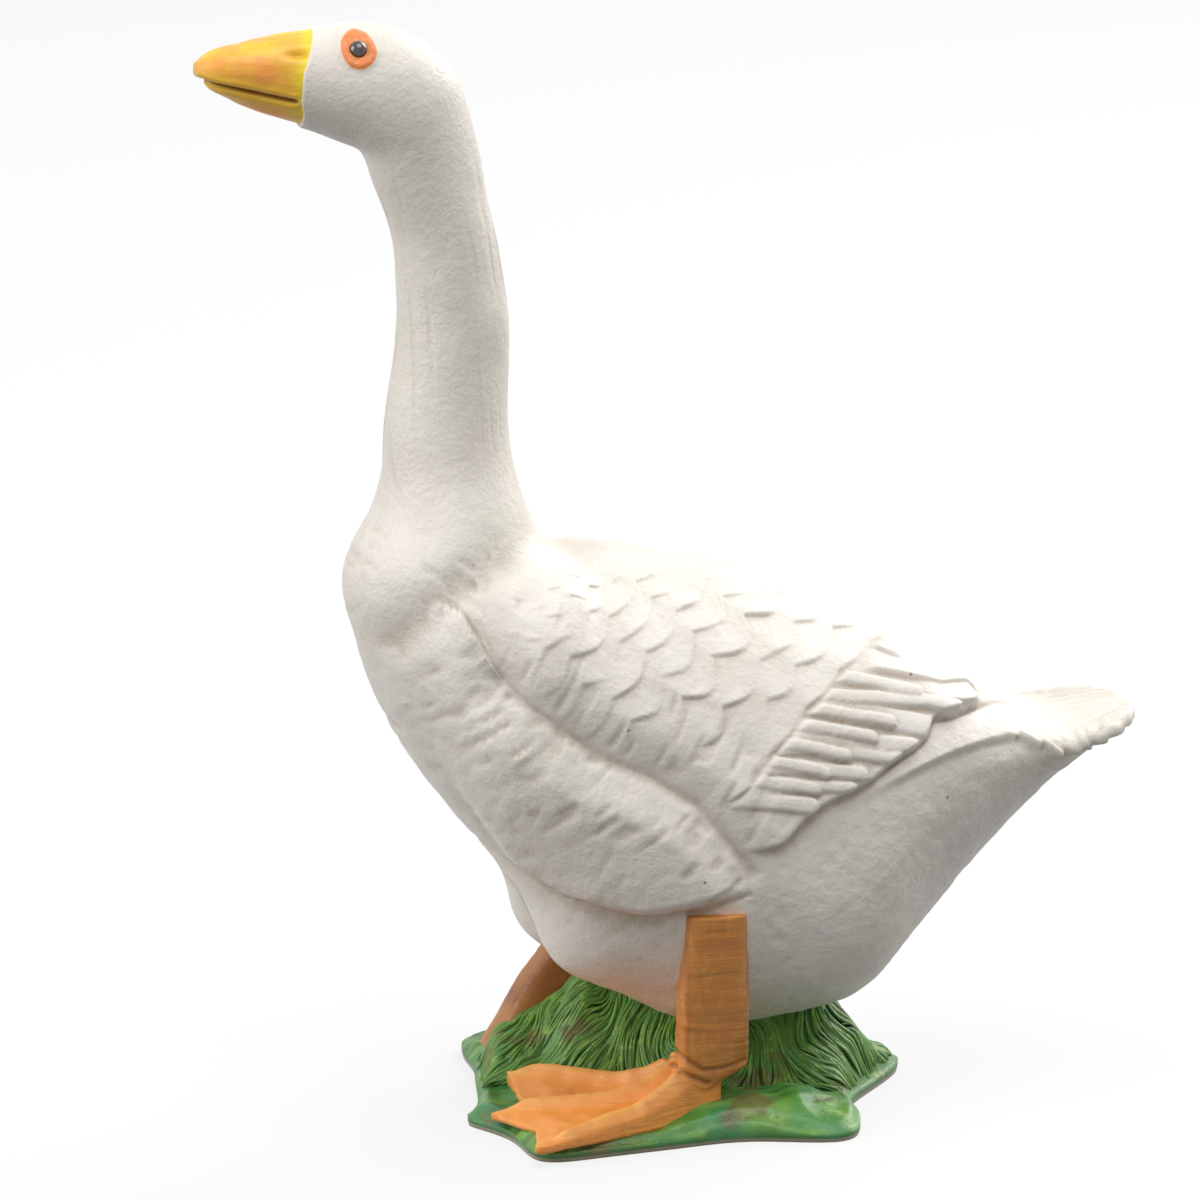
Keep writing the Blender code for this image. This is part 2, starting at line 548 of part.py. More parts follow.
def ground_height(x, y, share):
    """Top of the base: plate, rounded rim, mound and grass clump."""
    height = BASE_THICKNESS - BASE_RIM_ROUND * ease(0.92, 1.0, share)
    mound = np.hypot((x - MOUND_CENTRE[0]) / MOUND_REACH[0], (y - MOUND_CENTRE[1]) / MOUND_REACH[1])
    height = height + MOUND_HEIGHT * (1.0 - ease(0.3, 1.15, mound))
    away = line_distance(CLUMP_CROWN, x, y)
    (x0, y0), (x1, y1) = CLUMP_CROWN
    bearing = np.arctan2(y - (y0 + y1) / 2, x - (x0 + x1) / 2)
    slope = np.maximum(1.0 - ease(0.0, CLUMP_REACH, away), tuft_height(x, y))
    furrow = np.abs(np.sin(15 * bearing + 0.5 * away)) * ease(0.5, 2.5, away) * slope ** 0.5
    return height + (CLUMP_HEIGHT * slope - GRASS_RELIEF * furrow) * (1.0 - ease(0.9, 1.0, share))


def make_base():
    """Grass plate with its clump, over a flat underside."""
    around, rings = 120, 34
    edge = base_radius(around)
    middle = np.array(BASE_CENTRE)
    points = []
    for i in range(1, rings + 1):
        share = math.sin(0.5 * math.pi * i / rings)
        spot = middle + (edge - middle) * share
        height = ground_height(spot[:, 0], spot[:, 1], share)
        points += list(np.column_stack([spot, height]))
    points += list(np.column_stack([edge, np.full(around, -UNDERCUT)]))
    crown = float(ground_height(middle[0:1], middle[1:2], 0.0)[0])
    points.append(np.array([middle[0], middle[1], crown]))
    points.append(np.array([middle[0], middle[1], -UNDERCUT]))
    top, under = len(points) - 2, len(points) - 1
    faces = []
    for i in range(rings):
        for j in range(around):
            k = (j + 1) % around
            faces.append((i * around + j, i * around + k, (i + 1) * around + k, (i + 1) * around + j))
    last = rings * around
    for j in range(around):
        k = (j + 1) % around
        faces.append((k, j, top))
        faces.append((last + j, last + k, under))
    return add_mesh("base", points, faces)


def paint(name, colour, roughness):
    """Plain paint of one colour."""
    material = bpy.data.materials.new(name)
    material.use_nodes = True
    shader = material.node_tree.nodes["Principled BSDF"]
    shader.inputs["Base Color"].default_value = (*colour, 1.0)
    shader.inputs["Roughness"].default_value = roughness
    shader.inputs["Metallic"].default_value = 0.0
    return material


def triangle_count(piece):
    """Triangles of the object as its modifiers leave it."""
    depsgraph = bpy.context.evaluated_depsgraph_get()
    mesh = piece.evaluated_get(depsgraph).to_mesh()
    return sum(len(face.vertices) - 2 for face in mesh.polygons)


def fuse(pieces):
    """Run all the shapes together into one skin and thin its faces to the budget."""
    body = pieces[0]
    with bpy.context.temp_override(active_object=body, selected_editable_objects=pieces):
        bpy.ops.object.join()
    skin = body.modifiers.new("one_skin", "REMESH")
    skin.mode = "VOXEL"
    skin.voxel_size = SKIN_STEP * MM
    thin = body.modifiers.new("face_budget", "DECIMATE")
    thin.ratio = min(1.0, FACE_BUDGET / triangle_count(body))
    return body


def cut_flat(body):
    """Trim the underside to the plane that the base rests on."""
    size = 3.0 * BIRD_LENGTH
    square = ((-size, -size), (size, -size), (size, size), (-size, size))
    points = [(x, y, z) for z in (-size, 0.0) for x, y in square]
    faces = [(0, 3, 2, 1), (4, 5, 6, 7), (0, 1, 5, 4), (1, 2, 6, 5), (2, 3, 7, 6), (3, 0, 4, 7)]
    ground = add_mesh("ground_cutter", points, faces)
    ground.hide_render = True
    ground.display_type = "WIRE"
    trim = body.modifiers.new("flat_underside", "BOOLEAN")
    trim.operation = "DIFFERENCE"
    trim.solver = "EXACT"
    trim.object = ground


def main():
    for piece in list(bpy.data.objects):
        bpy.data.objects.remove(piece)
    body = make_body()
    body.data.materials.append(paint("white_plumage", (0.80, 0.78, 0.74), 0.55))
    right_ankle_x = RIGHT_HIP_X - STEP_FORWARD
    pieces = [
        body,
        make_eye("eye_left", -1.0),
        make_eye("eye_right", 1.0),
        make_leg("leg_left", -1.0, LEFT_ANKLE_X, LEFT_HIP_X, LEFT_HIP_INSET),
        make_leg("leg_right", 1.0, right_ankle_x, RIGHT_HIP_X, RIGHT_HIP_INSET),
        make_foot("foot_left", -1.0, LEFT_ANKLE_X + HEEL, LEFT_HEADING, LEFT_FOOT_LENGTH, LEFT_ANKLE_RISE),
        make_foot("foot_right", 1.0, right_ankle_x + HEEL, RIGHT_HEADING, RIGHT_FOOT_LENGTH, RIGHT_ANKLE_RISE),
        make_base(),
    ]
    body = fuse(pieces)
    cut_flat(body)
    body.data.shade_smooth()
    body.data.set_sharp_from_angle(angle=math.radians(50.0))


main()
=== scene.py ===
"""Looks of the goose figurine: carved plumage, painted bill and eyes, legs and grass.

The goose looks along -X and its left side faces -Y. Sizes are in millimetres
until a mesh is made.
"""

import math

import bpy
import numpy as np
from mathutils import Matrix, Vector


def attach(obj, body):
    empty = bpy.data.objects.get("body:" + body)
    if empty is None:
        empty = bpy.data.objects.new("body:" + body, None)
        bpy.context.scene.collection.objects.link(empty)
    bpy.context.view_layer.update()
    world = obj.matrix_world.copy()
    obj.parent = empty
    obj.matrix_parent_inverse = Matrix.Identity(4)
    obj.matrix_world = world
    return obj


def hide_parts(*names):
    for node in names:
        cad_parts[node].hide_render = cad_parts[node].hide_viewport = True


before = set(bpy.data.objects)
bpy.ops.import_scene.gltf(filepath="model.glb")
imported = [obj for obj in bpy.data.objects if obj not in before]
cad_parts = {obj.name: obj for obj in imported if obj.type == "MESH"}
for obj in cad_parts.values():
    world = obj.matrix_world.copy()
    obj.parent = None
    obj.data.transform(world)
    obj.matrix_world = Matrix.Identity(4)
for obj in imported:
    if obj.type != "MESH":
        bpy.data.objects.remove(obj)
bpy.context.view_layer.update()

MM = 0.001

# Floor and light. Each soft box has its direction round the figurine and above
# the floor, its distance and width in metres, and its power.
FLOOR_TONE = (100, 100, 100)
FLOOR_GLOW = 0.78
WORLD_LIGHT = 0.37
SOFT_BOXES = (
    ("overhead_soft_box", 10.0, 66.0, 0.5, 0.4, 1.7),
    ("left_soft_box", -92.0, 22.0, 0.5, 0.35, 1.4),
    ("right_soft_box", 118.0, 34.0, 0.5, 0.35, 1.8),
)

# Camera at the photograph's viewing angle, in degrees, and in metres from its aim.
CAMERA_AZIMUTH = -15.0
CAMERA_ELEVATION = 13.0
CAMERA_DISTANCE = 0.5
CAMERA_LENS = 240.0
CAMERA_SENSOR = 36.0
AIM = (-0.0052, 0.0, 0.0329)

# Heights and reaches that the pieces share.
BASE_THICKNESS = 1.2
LEG_LENGTH = 13.8
HIP_HEIGHT = BASE_THICKNESS + LEG_LENGTH
LEG_WIDTH = 4.1             # fore and aft
LEG_THICKNESS = 3.0         # across
LEG_INSET = 6.9             # ankle, measured from the middle of the goose
LEFT_HIP_INSET = 10.9
RIGHT_HIP_INSET = 9.6
LEFT_HIP_X = -0.8
LEFT_ANKLE_X = 0.1
RIGHT_HIP_X = 1.7
RIGHT_ANKLE_X = -9.0
ANKLE_HEIGHT = 3.4
HEEL_SLOPE = 0.5            # slope of the lower end of a leg, up towards the heel
HEEL = 0.8
TOE_SPLAY = 30.0
TOE_HEIGHT = 1.6
WEB_HEIGHT = 0.5
TOE_WIDTH = 1.5
WEB_NOTCH = 0.14
LEFT_FOOT = (-8.5, 14.6, 4.0)   # heading outwards in degrees, length, and height at the ankle
RIGHT_FOOT = (20.0, 2.6, 1.8)
RIGHT_LEG_PAINTED_SHADOW = 0.7        # painted shadow: brown laid over the leg that stands behind the grass in the body's shadow
# Folds where the leg meets the foot, in X from the ankle and Z.
ANKLE_FOLDS = (
    ((-2.5, 5.5), (-1.0, 4.5), (0.2, 4.5), (1.8, 4.8)),
    ((-2.4, 4.4), (-0.6, 3.5)),
)

# Depths of the carving.
WING_RELIEF = 0.85
FLANK_RELIEF = 1.25
CREST_RELIEF = 0.22
THIGH_RELIEF = 1.9
CREASE_DEPTH = 0.3
CREASE_WIDTH = 0.6
CREASE_SLOPE = 2.8          # how far the wing and the flank take to rise from the crease
VALLEY_DEPTH = 0.45
VALLEY_WIDTH = 1.3
DENT_DEPTH = 0.055
DENT_SIZE = 2.6
COVERT_RELIEF = 0.30
BAR_RELIEF = 0.60
BAR_CROWN = 0.6             # how round a wing bar is across
BAR_BLUNT = 0.42            # length of a bar's rounded tip, as a share of its width
BAR_ROOT_SHARE = 0.65       # height of a bar at its root, as a share of its tip's
BAR_EDGE = 0.2
TAIL_RELIEF = 0.22
TAIL_RIDGE_RELIEF = 0.45
LONG_EDGE_RELIEF = 0.4
STROKE_RELIEF = 0.13
GROOVE_RELIEF = 0.1
BILL_STEP = 0.14            # plumage stands proud of the bill by this much
BILL_BED = 0.5              # plumage under the bill lies this deep
NOSTRIL_DEPTH = 0.32
MOUTH_DEPTH = 0.4
FURROW_DEPTH = 0.1          # depth under its surroundings at which carving holds the full brown wash and painted shade
EYE_RADIUS = 0.58
EYE_RING_RADIUS = 1.05
EYE_SET_IN = 0.36           # share of its radius by which an eye's middle lies inside the head

# Sections from tail to bill. Each has the top and bottom point of the section
# in side view (X, and Z from the hip), its half width, how far its widest
# place lies below the middle, and how square it is (2 is an ellipse).
SECTIONS = (
    ((29.0, 9.2), (28.9, 8.75), 1.7, 0.00, 1.8),       # tail tip
    ((27.9, 9.2), (27.9, 8.0), 3.7, -0.35, 1.65),
    ((24.5, 8.8), (25.1, 5.8), 5.6, -0.48, 1.7),
    ((21.6, 9.7), (21.9, 2.7), 7.0, -0.48, 1.7),      # tail root
    ((16.9, 12.65), (18.0, -1.2), 9.2, -0.34, 1.8),
    ((11.8, 15.3), (14.2, -5.1), 10.9, -0.16, 1.9),   # vent
    ((6.5, 17.6), (10.6, -7.9), 11.9, 0.12, 2.1),
    ((1.3, 19.3), (5.2, -9.3), 12.2, 0.10, 2.1),      # belly
    ((-2.6, 20.2), (-0.4, -9.2), 12.0, 0.06, 2.1),
    ((-5.5, 20.7), (-6.4, -5.1), 11.7, 0.00, 2.1),
    ((-7.5, 20.9), (-11.3, 0.8), 11.1, -0.08, 2.1),
    ((-8.6, 21.5), (-16.4, 7.1), 10.2, -0.15, 2.1),   # breast
    ((-9.1, 21.9), (-19.5, 12.5), 9.0, -0.15, 2.05),
    ((-9.6, 23.1), (-21.25, 17.5), 7.6, -0.12, 2.0),
    ((-10.2, 24.6), (-21.5, 20.8), 6.4, -0.08, 2.0),
    ((-10.7, 26.2), (-20.1, 23.6), 5.3, -0.05, 2.0),
    ((-11.05, 28.1), (-19.2, 26.0), 4.4, 0.00, 2.0),  # root of the neck
    ((-11.2, 31.0), (-18.9, 29.6), 3.8, 0.00, 2.0),
    ((-11.1, 34.1), (-18.4, 33.6), 3.45, 0.00, 2.0),
    ((-11.3, 37.6), (-18.1, 37.6), 3.3, 0.00, 2.0),
    ((-11.8, 40.8), (-18.35, 40.8), 3.2, 0.00, 2.0),
    ((-12.45, 43.9), (-18.9, 43.3), 3.2, 0.05, 2.0),
    ((-12.9, 46.4), (-19.6, 45.1), 3.3, 0.10, 2.0),   # throat
    ((-13.5, 49.0), (-20.3, 46.8), 3.5, 0.10, 2.0),
    ((-14.5, 51.7), (-21.2, 47.4), 3.65, 0.05, 2.0),  # nape
    ((-16.8, 53.9), (-22.3, 47.9), 3.6, 0.00, 2.0),
    ((-19.4, 54.85), (-23.3, 48.35), 3.35, 0.00, 2.0),  # crown
    ((-21.9, 54.95), (-24.0, 48.6), 3.0, 0.00, 2.0),
    ((-23.8, 54.75), (-24.6, 48.85), 2.7, 0.00, 2.0),  # root of the bill
    ((-26.0, 54.5), (-26.5, 49.5), 2.35, -0.10, 2.0),
    ((-28.2, 54.05), (-28.4, 50.3), 1.95, -0.10, 2.0),
    ((-29.8, 53.65), (-29.8, 51.15), 1.45, -0.05, 2.0),
    ((-30.75, 53.0), (-30.7, 51.95), 0.8, 0.00, 2.0),  # bill tip
)
NECK_ROOT = 17
HEAD_BACK = 23
BILL_BACK = 27
BILL_END = 32

# Lines on the side of the bird, in X and Z from the hip.
CREASE = (
    (-14.0, 15.5), (-12.9, 14.2), (-10.7, 12.5), (-8.1, 10.6),
    (-5.0, 9.2), (-2.3, 7.4), (0.0, 4.6), (1.2, 3.0),
)
FLANK_EDGE = (
    (1.2, 3.0), (1.2, 1.4), (-1.9, 0.4), (-5.3, -0.1), (-9.4, 1.0), (-12.5, 2.8), (-17.5, 9.5), (-21.5, 15.0),
)
BREAST_FRONT = ((-24.0, 17.0), (-24.0, 22.0), (-16.0, 19.5))
VALLEY = ((-11.2, 22.8), (-13.9, 22.0), (-16.3, 20.7), (-17.8, 19.4), (-19.6, 17.4))
TAIL_RIDGE = ((7.5, 6.8), (10.4, 8.0), (14.0, 9.2), (18.4, 9.6), (23.9, 8.9))
BILL_ROOT = ((-23.1, 55.5), (-23.8, 53.9), (-24.0, 53.2), (-24.45, 52.4), (-24.5, 50.6), (-24.1, 48.0))
MOUTH = ((-30.6, 51.75), (-28.0, 51.2), (-24.9, 50.5))
NOSTRIL = (-24.65, 53.55)
EYE = (-21.05, 53.65)
THIGH = (-7.6, 4.4, -3.0)
THIGH_REACH = (3.6, 4.2, 3.6)
TRUNK_TOP = 24.5

# Lines on the back and wing, in X and in distance down from the spine.
WING_REAR = (
    (0.6, 22.2), (3.2, 21.2), (4.6, 19.5), (7.0, 17.4), (9.2, 15.7), (11.0, 13.8), (12.9, 12.0), (13.7, 10.4),
    (16.2, 8.6), (20.7, 3.0), (21.2, 0.0),
)
SHOULDER = ((-8.0, 0.0), (-12.0, 5.5), (-15.0, 10.0), (-14.6, 14.0))
COVERT_SLOPE = 51.0         # degrees that the rows of broad feathers fall
COVERT_WIDTH = 4.3
# Rows of broad feathers. Each has its place across the rows, the place of its
# first notch along it, how far its feathers bulge, and where it fades out.
COVERT_ROWS = (
    (11.65, 2.2, 0.20, 40.0),
    (9.75, 4.0, 0.50, 11.0),
    (8.05, 1.4, 0.72, 14.6),
    (5.90, 3.7, 0.85, 14.5),
    (4.25, 3.0, 0.65, 18.0),
    (2.70, 2.8, 0.42, 19.5),
    (1.15, 3.4, 0.40, 20.0),
    (-0.15, 2.3, 0.40, 20.0),
    (-1.20, 3.9, 0.35, 20.0),
)
SMALL_ROWS_END = -6.5       # place across the rows where the small shoulder feathers end
SMALL_PITCH = 0.95
SMALL_WIDTH = 2.3
# Wing bars, each with its root, its tip, its width and how proud it is.
WING_BARS = (
    ((8.7, 9.2), (12.9, 9.1), 1.15, 1.0),
    ((7.3, 10.7), (15.5, 9.1), 1.1, 0.9),
    ((6.0, 12.0), (10.9, 11.5), 1.05, 1.0),
    ((4.8, 13.3), (9.6, 12.8), 1.05, 1.0),
    ((3.8, 14.7), (7.7, 14.5), 1.05, 1.0),
    ((2.9, 16.0), (6.2, 16.0), 1.05, 0.9),
    ((1.9, 17.3), (5.5, 17.2), 1.05, 0.75),
    ((1.2, 18.5), (5.4, 18.3), 1.2, 0.55),
    ((10.6, 11.3), (14.0, 11.1), 1.6, 0.6),
    ((9.0, 13.2), (12.3, 12.5), 1.2, 0.65),
    ((7.4, 14.3), (11.3, 13.6), 1.0, 0.6),
    ((5.9, 15.8), (8.8, 15.3), 1.1, 0.65),
    ((5.3, 17.0), (8.0, 16.4), 0.9, 0.5),
)
# Lower edges of the long feathers that close over the root of the tail.
LONG_EDGES = (
    ((10.0, 6.1), (12.2, 6.6)),
    ((9.8, 8.2), (14.4, 7.8), (17.6, 5.6)),
    ((13.2, 9.4), (15.5, 8.6), (17.7, 7.3), (20.2, 4.0), (21.8, 1.2)),
)

# Outline of the base, in X and Y.
BASE_OUTLINE = (
    (-13.6, -0.2), (-14.6, -2.4), (-12.9, -6.3), (-12.2, -11.0), (-8.1, -11.3),
    (-2.6, -10.6), (2.4, -10.5), (7.6, -11.8), (9.6, -8.4), (10.6, -4.1),
    (15.6, 2.6), (14.4, 6.2), (11.6, 10.5), (5.0, 14.6), (-3.0, 16.4),
    (-9.3, 16.0), (-11.2, 13.2), (-11.4, 9.6), (-12.2, 5.6),
)
BASE_LENGTH = 29.6
BASE_WIDTH = 27.6
BASE_CENTRE = (0.0, 1.0)
BASE_RIM_ROUND = 0.55
CLUMP_CROWN = ((-4.2, 5.6), (8.2, 1.8))
CLUMP_HEIGHT = 6.0
CLUMP_REACH = 6.5
LEFT_BLADES = 1400
RIGHT_BLADES = 1200
TUFT_CROWN = ((-4.2, 5.6), (-11.8, 5.4))
TUFT_REACH = 3.6
TUFT_SHARE = 0.26           # height of the tuft's far end, as a share of the clump's
MOUND_CENTRE = (2.6, -7.4)
MOUND_REACH = (8.0, 3.6)
MOUND_HEIGHT = 1.3


def ease(low, high, value):
    """0 below low, 1 above high, smooth between."""
    t = np.clip((value - low) / (high - low), 0.0, 1.0)
    return t * t * (3.0 - 2.0 * t)


def grain(a, b, seed):
    """Smooth random field from -1 to 1 that swings about once per unit of a and of b."""
    table = np.random.default_rng(seed).uniform(-1.0, 1.0, (128, 128))
    i, j = np.floor(a).astype(int), np.floor(b).astype(int)
    u, v = ease(0.0, 1.0, a - i), ease(0.0, 1.0, b - j)
    near = table[i % 128, j % 128] * (1 - u) + table[(i + 1) % 128, j % 128] * u
    far = table[i % 128, (j + 1) % 128] * (1 - u) + table[(i + 1) % 128, (j + 1) % 128] * u
    return near * (1 - v) + far * v


def spline(knots, values, at):
    """Natural cubic spline through the values, read at the given places."""
    count = len(knots)
    gap = np.diff(knots)
    matrix = np.eye(count)
    right = np.zeros(values.shape)
    for i in range(1, count - 1):
        matrix[i, i - 1:i + 2] = gap[i - 1], 2 * (gap[i - 1] + gap[i]), gap[i]
        right[i] = 6 * ((values[i + 1] - values[i]) / gap[i] - (values[i] - values[i - 1]) / gap[i - 1])
    bend = np.linalg.solve(matrix, right)
    j = np.clip(np.searchsorted(knots, at, side="right") - 1, 0, count - 2)
    step = (at - knots[j])[:, None]
    span = gap[j][:, None]
    slope = (values[j + 1] - values[j]) / span - span * (2 * bend[j] + bend[j + 1]) / 6
    return (
        values[j] + step * slope + step ** 2 * bend[j] / 2
        + step ** 3 * (bend[j + 1] - bend[j]) / (6 * span)
    )


def line_distance(line, a, b):
    """Distance of each point (a, b) from a line of straight pieces."""
    best = np.full(a.shape, np.inf)
    for (a0, b0), (a1, b1) in zip(line, line[1:]):
        run = (a1 - a0, b1 - b0)
        along = ((a - a0) * run[0] + (b - b0) * run[1]) / (run[0] ** 2 + run[1] ** 2)
        along = np.clip(along, 0.0, 1.0)
        best = np.minimum(best, np.hypot(a - a0 - along * run[0], b - b0 - along * run[1]))
    return best


def smooth_line(line, share=5):
    """The line as a smooth curve through its points, cut into short straight pieces."""
    points = np.array(line)
    at = np.linspace(0.0, len(points) - 1.0, share * (len(points) - 1) + 1)
    curve = spline(np.arange(len(points), dtype=float), points, at)
    return tuple((float(a), float(b)) for a, b in curve)


def inside(outline, a, b):
    """True for each point (a, b) inside the closed outline."""
    result = np.zeros(a.shape, dtype=bool)
    for (a0, b0), (a1, b1) in zip(outline, outline[1:] + outline[:1]):
        if b0 != b1:
            crosses = (b0 > b) != (b1 > b)
            result ^= crosses & (a < a0 + (b - b0) * (a1 - a0) / (b1 - b0))
    return result


def section_rows():
    """The sections as numbers, and how far along the bird each one stands."""
    rows = np.array([[*top, *low, half, drop, square] for top, low, half, drop, square in SECTIONS])
    steps = np.hypot(*np.diff(rows[:, 0:2], axis=0).T) + np.hypot(*np.diff(rows[:, 2:4], axis=0).T)
    return rows, np.concatenate([[0.0], np.cumsum(steps / 2)])


def ring_places(plan):
    """Places of the rings. The plan has spans from section to section, each with its own spacing."""
    _, knots = section_rows()
    places = []
    for first, last, gap in plan:
        count = max(1, round((knots[last] - knots[first]) / gap))
        places += list(np.linspace(knots[first], knots[last], count, endpoint=False))
    return np.array(places + [knots[plan[-1][1]]])


def ring_angles(upper, lower, turn):
    """Angles round the bird from the spine, with more of them above the turn than under it."""
    half = np.concatenate([
        np.linspace(0.0, turn, upper, endpoint=False),
        np.linspace(turn, math.pi, lower, endpoint=False),
    ])
    return np.concatenate([half, [math.pi], 2 * math.pi - half[:0:-1]])


def bird_grid(places, angles):
    """Smooth surface of the bird as rings of points, and the distance down from the spine."""
    rows, knots = section_rows()
    ring = spline(knots, rows, places)
    angle = angles[None, :]
    power = 2.0 / ring[:, 6:7]
    height = np.sign(np.cos(angle)) * np.abs(np.cos(angle)) ** power
    width = np.sign(np.sin(angle)) * np.abs(np.sin(angle)) ** power
    height = height - ring[:, 5:6] * (1.0 - height ** 2)
    centre = (ring[:, 0:2] + ring[:, 2:4]) / 2
    half = (ring[:, 0:2] - ring[:, 2:4]) / 2
    grid = np.empty((len(places), len(angles), 3))
    grid[..., 0] = centre[:, 0:1] + half[:, 0:1] * height
    grid[..., 1] = -np.maximum(ring[:, 4:5], 0.2) * width
    grid[..., 2] = centre[:, 1:2] + half[:, 1:2] * height
    way = np.linalg.norm(np.diff(grid, axis=1, append=grid[:, :1]), axis=2)
    down = np.concatenate([np.zeros((len(places), 1)), np.cumsum(way, axis=1)[:, :-1]], axis=1)
    down = np.minimum(down, way.sum(axis=1, keepdims=True) - down)
    return grid, down


def grid_normals(grid):
    """Outward direction at each point of a ring grid."""
    around = np.roll(grid, -1, axis=1) - np.roll(grid, 1, axis=1)
    along = np.gradient(grid, axis=0)
    normal = np.cross(around, along)
    middle = grid.mean(axis=1, keepdims=True)
    if (normal * (grid - middle)).sum() < 0:
        normal = -normal
    return normal / np.maximum(np.linalg.norm(normal, axis=2, keepdims=True), 1e-9)


def wing_bar(x, down, root, tip, width, relief):
    """One bar of the wing from root to tip: proud at its rounded tip, and sinking towards its root."""
    run = (tip[0] - root[0], tip[1] - root[1])
    length = math.hypot(*run)
    ca, sa = run[0] / length, run[1] / length
    back = (tip[0] - x) * ca + (tip[1] - down) * sa
    side = np.abs((down - tip[1]) * ca - (x - tip[0]) * sa)
    bow = np.clip(back / (BAR_BLUNT * width), 0.0, 1.0)
    half = 0.5 * width * np.sqrt(np.clip(1.0 - (1.0 - bow) ** 2, 0.0, 1.0))
    rim = ease(0.0, BAR_EDGE, np.minimum(half - side, back))
    rounding = np.sqrt(np.clip(1.0 - BAR_CROWN * (side / (0.5 * width)) ** 2, 0.0, 1.0))
    return relief * rim * rounding * (1.0 - (1.0 - BAR_ROOT_SHARE) * np.clip(back / length, 0.0, 1.0))


def row_relief(s, across, row, width, relief, seed):
    """One row of feathers: it drops at its wavy edge and sinks slowly under the row before it."""
    place, first, bulge, end = row
    turn = (s - first) / width + 0.12 * grain(s / 3.1 + 7.3 * place, 0.0 * s, seed)
    number, u = np.floor(turn), turn - np.floor(turn)
    rise = np.sin(0.5 * math.pi * np.minimum(u / 0.45, 1.0))
    fall = 1.0 - np.cos(0.5 * math.pi * np.clip((u - 0.45) / 0.55, 0.0, 1.0))
    size = 1.0 + 0.2 * grain(number + 0.5, 0.0 * s + place, seed + 1)
    ragged = 0.05 * grain(s / 0.9, 0.0 * s + place, seed + 2)
    edge = place + 1.25 * bulge * size * (rise - 1.08 * fall - 0.1) + ragged
    behind = edge - across
    depth = relief * (0.7 + 0.3 * np.cos(2 * math.pi * (u - 0.75)))
    depth = depth * (0.85 + 0.3 * grain(s / 2.0, 0.0 * s + place, seed + 3))
    sink = np.exp(-np.maximum(behind, 0.0) / (0.32 * width))
    return depth * ease(0.0, 0.15, behind) * sink * ease(end, end - 2.5, s)


def covert_relief(x, down):
    """Rows of broad feathers on the wing, and of small ones at the shoulder."""
    fall = math.radians(COVERT_SLOPE)
    s = down * math.sin(fall) - x * math.cos(fall)
    across = x * math.sin(fall) + down * math.cos(fall)
    across = across + 0.12 * grain(s / 4.0, across / 4.0, 6)
    result = np.zeros(x.shape)
    for row in COVERT_ROWS:
        result = np.maximum(result, row_relief(s, across, row, COVERT_WIDTH, COVERT_RELIEF, 7))
    place = COVERT_ROWS[-1][0] - SMALL_PITCH
    while place > SMALL_ROWS_END:
        row = (place, 1.7 * place, 0.4, 40.0)
        result = np.maximum(result, row_relief(s, across, row, SMALL_WIDTH, 0.8 * COVERT_RELIEF, 17))
        place -= SMALL_PITCH
    return result * (0.35 + 0.65 * ease(1.0, 6.0, down))


def edge_relief(x, down, line, depth, fade):
    """Surface that stands proud on the spine's side of a line and drops at it."""
    xs, ts = zip(*line)
    above = np.interp(x, xs, ts) - down
    ends = ease(xs[0] - 0.6, xs[0] + 0.6, x) * ease(xs[-1] + 0.6, xs[-1] - 0.6, x)
    return depth * ends * ease(-0.1, 0.15, above) * np.exp(-np.maximum(above, 0.0) / fade)


def bar_relief(x, down):
    """Narrow bars of the folded wing, and the long feathers to the tail."""
    relief = np.zeros(x.shape)
    bend = down + 0.06 * grain(x / 1.6, down / 1.2, 9)
    for root, tip, width, proud in WING_BARS:
        run = np.subtract(tip, root)
        root = np.subtract(root, 0.5 * run / np.hypot(*run))
        one = wing_bar(x, bend, root, tip, width, proud * BAR_RELIEF)
        relief = np.maximum(relief, one)
    for line in LONG_EDGES:
        relief = np.maximum(relief, edge_relief(x, down, line, LONG_EDGE_RELIEF, 1.6))
    return relief


def ridge_relief(x, z, down, widest):
    """Side ridge of the tail, with the tips of its feathers: it sinks slowly towards the spine."""
    xs, zs = zip(*smooth_line(TAIL_RIDGE))
    tooth = (x / 1.5 + 0.5 * grain(x / 2.0, 0.0 * x, 10)) % 1.0
    drawn = z - np.interp(x, xs, zs)
    above = drawn + (widest - down - drawn) * ease(19.0, 24.0, x) + 0.3 * (tooth - 0.5) * ease(17.0, 21.0, x)
    fall = np.where(above > 0.0, np.exp(-np.abs(above) / 1.3), np.exp(-(above / 0.35) ** 2))
    return TAIL_RIDGE_RELIEF * fall * ease(xs[0], xs[0] + 5.0, x)


def tail_relief(x, down):
    """Long feathers of the tail, side by side."""
    fan = down / (0.35 + 0.65 * ease(32.0, 21.6, x))
    ridge = np.abs(np.cos(math.pi * fan / 1.5 + 0.6 * grain(x / 3.0, fan, 3))) ** 0.7
    return TAIL_RELIEF * ridge * ease(20.1, 23.6, x) * (1.0 - ease(7.0, 10.0, down))


def strokes(a, b, turn, wide, long, seed):
    """Short chiselled cuts that run along one direction, 0 to 1."""
    ca, sa = math.cos(math.radians(turn)), math.sin(math.radians(turn))
    field = grain((a * ca + b * sa) / long + 40.0, (b * ca - a * sa) / wide + 40.0, seed)
    return ease(0.15, 0.75, field)


